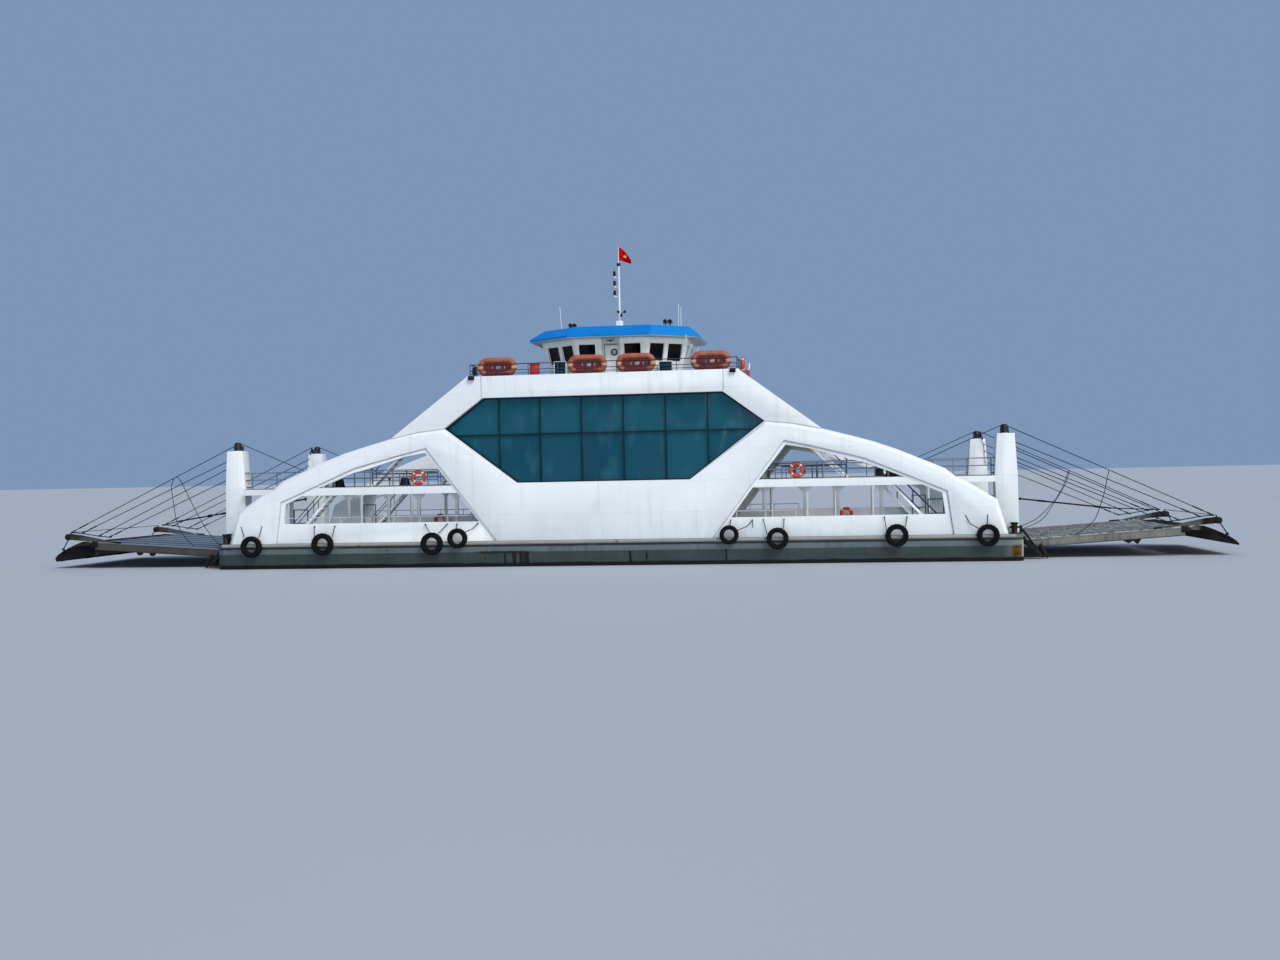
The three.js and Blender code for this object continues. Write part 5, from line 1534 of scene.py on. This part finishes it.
# %% [markdown]
# Whip aerials, two pairs of searchlights and a small horn stand on the blue roof, and a thin cap
# covers each of its eight hips. The mast carries its lamps on the aft side, three loudhailers near
# its foot and a black masthead lamp. Two pipes come down a corner of the house on each side.

# %% Roof and mast gear
ROOF_Z = 12.2
# Each aerial's x, y, height and lean.
WHIPS = [(-3.26, 0.3, 13.67, -0.08), (3.2, -0.1, 13.56, 0.02), (3.34, -0.1, 13.38, 0.0)]
# Each searchlight's x, z and radius.
SEARCHLIGHTS = [(-2.7, 12.61, 0.085), (-2.48, 12.6, 0.085), (2.48, 12.65, 0.095), (2.74, 12.64, 0.095)]
MAST_ARMS_Z = (14.07, 14.59, 15.11)
LOUDHAILERS = [(-0.03, 13.23), (0.32, 13.22), (0.13, 13.03)]
# Each hip of the roof from its eave to its top: x, y, z, x, y, z.
ROOF_HIPS = [(2.2, 4.1, 11.62, 1.9, 2.75, 12.2), (4.49, 2.27, 11.62, 3.8, 1.3, 12.2)]
CORNER_PIPES = [((3.91, 11.41), (3.44, 9.84)), ((4.16, 10.94), (3.68, 9.78))]


def roof_gear():
    with piece("whip_aerials", band_white, "white", over="one"):
        for x, y, top, lean in WHIPS:
            upright(x, y, ROOF_Z - 0.02, ROOF_Z + 0.2, 0.035)
            rod((x, y, ROOF_Z + 0.2), (x + lean, y, top), 0.02, 6)
    with piece("searchlights", greasy_black, "dark_steel", 0.008, "one"):
        for x, z, radius in SEARCHLIGHTS:
            yoke = z - radius - 0.03
            upright(x, 0, ROOF_Z - 0.02, yoke, 0.03)
            slab((x - radius - 0.03, -0.03, yoke), (x + radius + 0.03, 0.03, yoke + 0.03))
            for side in (-radius - 0.015, radius + 0.015):
                upright(x + side, 0, yoke, z + 0.03, 0.016, 6)
            rod((x, -0.15, z), (x, 0.13, z + 0.02), radius, 14)
            rod((x, -0.18, z), (x, -0.14, z), radius + 0.012, 14)
        upright(3.6, 0, ROOF_Z - 0.02, ROOF_Z + 0.1, 0.05)
    with piece("roof_hips", roof_blue, "blue", over="one"):
        for x0, y0, z0, x1, y1, z1 in ROOF_HIPS:
            for x_sign, y_sign in ((1, 1), (1, -1), (-1, 1), (-1, -1)):
                rod((x_sign * x0, y_sign * y0, z0), (x_sign * x1, y_sign * y1, z1 - 0.005), 0.022, 6)
    with piece("corner_pipes", band_white, "white", over="sides"):
        for (x0, z0), (x1, z1) in CORNER_PIPES:
            rod((x0, -3.3, z0), (x1, -3.1, z1), 0.03)
            upright(x0, -3.3, z0, z0 + 0.12, 0.03)
            upright(x1, -3.1, z1, 9.42, 0.03)


def mast_gear():
    with piece("mast_lamps", greasy_black, "dark_steel", 0.006, "one"):
        for z in MAST_ARMS_Z:
            upright(-0.24, 0, z + 0.08, z + 0.32, 0.075, 12)
            upright(-0.24, 0, z + 0.31, z + 0.35, 0.05, 12)
        upright(0, 0, 15.72, 15.88, 0.1, 12)
        for x, z in LOUDHAILERS:
            rod((x, -0.26, z), (x, -0.2, z), 0.075, 12)
            rod((x, -0.21, z), (x, -0.09, z), 0.05, 12)
            rod((x, -0.12, z), (0, 0, z - 0.08), 0.018, 6)


roof_gear()
mast_gear()
print("aerials up to", WHIPS[0][2])

# %% [markdown]
# Around the bridge deck there are a red fire locker, a life ring with its light, a switch box,
# black floodlights under the corners of the fascia, and rungs down the sloping ends. The ends of
# the lounge get their glass, one strip inside each sloping wall, so that it fills all the windows.

# %% Bridge deck fittings and end glass
LOCKER = {"x": (-3.64, -3.19), "y": (-6.36, -6.1), "z": (9.44, 10.06)}
RAKE_TOP = (6.8, 9.38)
RAKE_FOOT = (10.7, 6.46)


def bridge_fittings():
    with piece("fire_locker", locker_red, "orange", 0.012, "one"):
        slab(*zip(LOCKER["x"], LOCKER["y"], LOCKER["z"]))
        slab((-3.66, -6.38, 10.0), (-3.17, -6.08, 10.06))
        slab((-3.6, -6.372, 9.5), (-3.23, -6.36, 9.96))
        rod((-3.28, -6.39, 9.7), (-3.28, -6.37, 9.8), 0.012, 6)
    with piece("ring_hooks", greasy_black, "dark_steel", over="one"):
        x, y, z = BRIDGE_RING
        for side in (-0.12, 0.12):
            rod((BRIDGE_RAIL["x"], y + side, z + 0.24), (x + 0.09, y + side, z + 0.24), 0.012, 6)
            rod((x + 0.09, y + side, z + 0.23), (x + 0.11, y + side, z + 0.3), 0.012, 6)
    with piece("ring_light", band_white, "white", over="one"):
        rod((7.22, -6.1, 9.42), (7.24, -6.1, 9.72), 0.045, 12)
        upright(7.24, -6.1, 9.72, 9.75, 0.03, 12)
    with piece("ring_light_float", ring_red, "orange", over="one"):
        rod((7.2, -6.1, 9.1), (7.22, -6.1, 9.42), 0.06, 12)
        rod((7.19, -6.1, 9.0), (7.2, -6.1, 9.12), 0.02, 8)
    with piece("aft_switch_box", greasy_black, "dark_steel", 0.012, "one"):
        slab((-6.56, -6.38, 9.56), (-6.37, -6.22, 9.95))
        slab((-6.54, -6.39, 9.6), (-6.39, -6.38, 9.91))
        upright(-6.465, -6.3, 9.42, 9.57, 0.03)
    with piece("floodlights", greasy_black, "dark_steel", 0.012):
        slab((6.33, -7.05, 9.27), (6.62, -6.9, 9.46))
        slab((6.42, -6.93, 9.31), (6.54, -6.86, 9.37))
        for step in range(5):
            slab((6.36 + 0.055 * step, -6.96, 9.45), (6.375 + 0.055 * step, -6.9, 9.475))
    with piece("rake_ladder", rail_grey, "wire"):
        for step in range(1, 9):
            x, z = between(RAKE_TOP, RAKE_FOOT, step / 9)
            rod((x, -6.3, z - 0.02), (x, -5.75, z - 0.02), 0.018, 6)
    with piece("end_glass", lounge_glass, "glass", 0.004, "ends"):
        run = (RAKE_FOOT[0] - RAKE_TOP[0]) / (RAKE_TOP[1] - RAKE_FOOT[1])
        edge = [(RAKE_FOOT[0] - (z - RAKE_FOOT[1]) * run, z) for z in (7.2, 8.6)]
        (low_x, low_z), (high_x, high_z) = edge
        corners = [
            (low_x - 0.32, low_z), (low_x - 0.29, low_z), (high_x - 0.29, high_z), (high_x - 0.32, high_z)
        ]
        plate(corners, -5.6, 5.6)


bridge_fittings()
print("locker and ladders on the bridge deck")

# %% [markdown]
# The working gear stands at the ends: iron bollards with caps, roller fairleads at the hull corners,
# braces at the ramp hinges, rungs up the towers, sheaves in the tower heads, and wire on the winch
# drums with a lead to the tower.

# %% Deck gear
BOLLARDS = [(19.62, 6.2), (19.62, 6.62)]
TOWER_EDGE = 20.15
TOWER_LEAN = 0.0556
PLATE_FOOT = 1.2806
WINCH_LEAD_Y = -5.5


def deck_gear():
    with piece("bollard_caps", greasy_black, "dark_steel", 0.012):
        for x, y in BOLLARDS:
            upright(x, -y, 1.72, 1.8, 0.16, 12)
            upright(x, -y, 1.275, 1.31, 0.19, 12)
        rod((19.4, -6.41, 1.58), (19.84, -6.41, 1.58), 0.05)
        rod((19.62, -6.05, 1.5), (19.62, -6.8, 1.5), 0.045)
        slab((19.36, -5.95, PLATE_FOOT), (19.9, -6.8, 1.305))
    with piece("fairlead", greasy_black, "dark_steel", 0.01):
        for x in (19.72, 19.88):
            upright(x, -5.35, 1.0, 1.62, 0.06, 10)
        slab((19.62, -5.45, 1.62), (19.97, -5.25, 1.68))
        slab((19.62, -5.48, PLATE_FOOT), (19.97, -5.22, 1.34))
    with piece("hinge_braces", greasy_black, "dark_steel", 0.012):
        rod((20.08, -5.42, 1.5), (21.08, -5.42, 0.06), 0.055, 10)
        rod((20.0, -5.62, 1.14), (20.86, -5.62, 0.12), 0.045, 10)
        bar((20.94, 0.7), (21.3, 0.06), 0.16, -5.5, -5.34)
        slab((19.98, -5.66, 0.1), (21.2, -5.34, 0.17))
        slab((19.84, -5.52, PLATE_FOOT), (20.12, -5.3, 1.62))
    with piece("thin_braces", groove_steel, "ramp_steel"):
        rod((20.0, -5.52, 1.3), (20.96, -5.52, 0.16), 0.035, 8)
    with piece("head_sheaves", white, "white", 0.01):
        for z, radius in ((6.2, 0.1), (5.6, 0.11), (5.22, 0.11), (4.64, 0.11)):
            x = 19.5 if z > 6 else TOWER_EDGE - z * TOWER_LEAN - radius
            rod((x, -5.32, z), (x, -5.2, z), radius, 16)
            rod((x, -5.35, z), (x, -5.17, z), 0.03, 8)
        for z in (5.6, 5.22, 4.64):
            x = TOWER_EDGE - z * TOWER_LEAN
            for y in (-5.37, -5.19):
                slab((x - 0.14, y - 0.012, z - 0.14), (x + 0.01, y + 0.012, z + 0.14))
    with piece("tower_rungs", rail_dark, "wire"):
        for z in (4.17, 4.53, 4.91):
            x = 18.74 + 0.0615 * (z - 4.1)
            rod((x, -5.78, z), (x, -5.36, z), 0.025)
            for y in (-5.76, -5.38):
                rod((x, y, z), (x + 0.12, y, z), 0.022, 6)
    with piece("drum_wire", wire_rope, "wire"):
        for step in range(11):
            ring_of(13.95, -5.67 + 0.034 * step, 4.3506, 0.205, 0.018)
        route = [(13.95, 4.56), (14.9, 4.56), (15.82, 4.97), (19.2, 6.44)]
        for (x0, z0), (x1, z1) in zip(route, route[1:]):
            rod((x0, WINCH_LEAD_Y, z0), (x1, WINCH_LEAD_Y, z1), 0.018, 6)
        rod((14.9, -5.44, 4.5), (14.9, -5.56, 4.5), 0.08, 12)
        upright(14.9, WINCH_LEAD_Y, 4.06, 4.5, 0.025)


deck_gear()
print(len(BOLLARDS), "bollards a corner")

# %% [markdown]
# The lane side of each engine casing has steel doors, louvred vents and hose boxes. Lamps hang under
# the lounge floor over the lane. None of these show from the camera, but they do from the ends.

# %% Casing doors and lane lamps
CASING_FACE = -5.2
LOUNGE_UNDERSIDE = 6.149


def casing_fittings():
    face = CASING_FACE
    with piece("casing_doors", stair_yellow, "white", 0.02, "sides"):
        for x in (-3.8, 0.6, 3.6):
            slab((x - 0.4, face, 1.42), (x + 0.4, face + 0.05, 3.35))
            for z in (1.75, 2.9):
                upright(x - 0.43, face + 0.04, z - 0.08, z + 0.08, 0.02)
            rod((x + 0.3, face + 0.05, 2.3), (x + 0.3, face + 0.11, 2.3), 0.014, 6)
            rod((x + 0.3, face + 0.1, 2.3), (x + 0.18, face + 0.1, 2.3), 0.014, 6)
    with piece("casing_vents", rail_grey, "white", over="sides"):
        for x in (-2.2, 2.1):
            for step in range(8):
                z = 2.2 + 0.11 * step
                turn = (math.radians(40), 0, 0)
                slab((x - 0.45, face + 0.024, z - 0.05), (x + 0.45, face + 0.036, z + 0.05), turn)
            for edge in (x - 0.5, x + 0.45):
                slab((edge, face, 2.1), (edge + 0.05, face + 0.07, 3.1))
    with piece("hose_boxes", locker_red, "orange", 0.015, "sides"):
        for x in (-0.9, 4.75):
            slab((x - 0.3, face, 1.9), (x + 0.3, face + 0.22, 2.6))
            slab((x - 0.26, face + 0.21, 1.95), (x + 0.26, face + 0.235, 2.55))
    with piece("lane_lamps", band_white, "white", 0.025, "one"):
        for x in (-8, -4.8, -1.6, 1.6, 4.8, 8):
            for y in (-2.4, 2.4):
                slab((x - 0.6, y - 0.08, 6.07), (x + 0.6, y + 0.08, LOUNGE_UNDERSIDE))
    with piece("floor_beams", white, "white", 0.01, "one"):
        for step in range(-6, 7):
            slab((1.6 * step - 0.05, -5.05, 6.0), (1.6 * step + 0.05, 5.05, LOUNGE_UNDERSIDE))


casing_fittings()
print("doors, vents and lamps along the lane")

# %% [markdown]
# Slack tackle falls hang from the top hoist wires down to the ramp: two from the fore port wire, one
# from the fore starboard one and two from the aft starboard one. A fall is held at its top and its
# foot rests on the ramp's edge, so it drops nearly straight and then curves in. Each is a curve of
# one open line with a round section. A thick black stay with sleeves runs on the port side from a
# link on each tower to the ramp's arm. The link lies beside the stay, so the two pass each other
# when the ramp is lowered.

# %% Slack falls and black stays
# Each fall's name, end and side of the ship, and the x and z of its points from its top down.
FALLS = [
    (
        "fall_fore_a", 1, 1,
        [(24.26, 4.19), (23.88, 3.2), (23.24, 2.28), (22.45, 1.54), (21.75, 1.2), (21.4, 1.02)],
    ),
    (
        "fall_fore_b", 1, 1,
        [(24.31, 4.17), (24.03, 3.37), (23.37, 2.32), (22.82, 1.56), (22.2, 1.2), (21.8, 1.05)],
    ),
    (
        "fall_fore_c", 1, -1,
        [(24.27, 4.19), (24.09, 3.28), (23.93, 2.67), (23.62, 1.84), (23.17, 1.4), (22.7, 1.11)],
    ),
    (
        "fall_aft_a", -1, -1,
        [(23.15, 4.72), (23.32, 4.28), (23.26, 3.51), (23.13, 2.46), (22.79, 1.69), (22.2, 1.08)],
    ),
    (
        "fall_aft_b", -1, -1,
        [(22.98, 4.8), (22.73, 4.46), (22.05, 3.01), (21.52, 2.05), (20.95, 1.3), (20.65, 0.98)],
    ),
]
FALL_RADIUS = 0.018
FALL_Y = (5.03, 4.78)


def smooth_route(points, steps=6):
    """Points along a smooth curve through the given ones."""
    ends = [points[0], *points, points[-1]]
    route = []
    for i in range(1, len(ends) - 2):
        before, start, end, after = (Vector(point) for point in ends[i - 1:i + 3])
        for step in range(steps):
            t = step / steps
            bend = 2 * before - 5 * start + 4 * end - after
            twist = 3 * (start - end) + after - before
            route.append(start + 0.5 * (t * (end - before) + t * t * bend + t * t * t * twist))
    route.append(Vector(points[-1]))
    return route


def rope_curve(name, points, radius):
    data = bpy.data.curves.new(name, "CURVE")
    data.dimensions = "3D"
    data.bevel_depth = radius
    data.bevel_resolution = 3
    data.use_fill_caps = True
    spline = data.splines.new("POLY")
    spline.points.add(len(points) - 1)
    for knot, point in zip(spline.points, points):
        knot.co = (*point, 1)
    obj = bpy.data.objects.new(name, data)
    bpy.context.scene.collection.objects.link(obj)
    return obj


def hang_falls():
    for name, end_sign, side_sign, route in FALLS:
        top_y, foot_y = FALL_Y
        top_z, foot_z = route[0][1], route[-1][1]
        points = []
        for x, z in route:
            y = foot_y + (top_y - foot_y) * (z - foot_z) / (top_z - foot_z)
            points.append(Vector((end_sign * x, side_sign * y, z)) * SCALE)
        line = smooth_route(points)
        rope = rope_curve(name, line, FALL_RADIUS * SCALE)
        rope.data.materials.append(wire_rope.material)
        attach(rope, "hoist_fore" if end_sign > 0 else "hoist_aft")


# Each end's stay: its sign, its height at the tower's face, the x and z where it thins, and its
# sleeves as x, radius and length.
STAYS = [
    ("fore", 1, 2.86, (26.5, 2.05), [(21.4, 0.065, 0.3), (22.6, 0.06, 0.4), (25.6, 0.06, 0.35)]),
    ("aft", -1, 3.37, (28.2, 2.14), [(24.9, 0.065, 0.45), (25.95, 0.09, 0.22)]),
]
STAY_FACE = 19.97
STAY_END = (29.0, 1.93)
LINK_REACH = 0.85


def black_stays():
    for end, end_sign, height, thin, sleeves in STAYS:
        slope = (height - thin[1]) / (thin[0] - STAY_FACE)

        def spot(x, y):
            return end_sign * x, y, height - (x - STAY_FACE) * slope

        start = STAY_FACE + LINK_REACH
        with piece("black_stay_" + end, greasy_black, "wire", 0.006, "one", body="hoist_" + end):
            rod(spot(start - 0.1, 5.15), spot(thin[0], 5.06), 0.045)
            rod(spot(thin[0], 5.06), (end_sign * STAY_END[0], 5.03, STAY_END[1]), 0.028)
            for x, radius, long in sleeves:
                y = 5.15 - 0.09 * (x - start) / (thin[0] - start)
                rod(spot(x, y), spot(x + long, y), radius)
        with piece("stay_link_" + end, greasy_black, "wire", 0.006, "one"):
            rod(spot(STAY_FACE - 0.03, 5.03), spot(start, 5.03), 0.05)
            rod(spot(STAY_FACE - 0.03, 5.03), spot(STAY_FACE + 0.05, 5.03), 0.1, 12)


hang_falls()
black_stays()
print(len(FALLS), "slack falls")
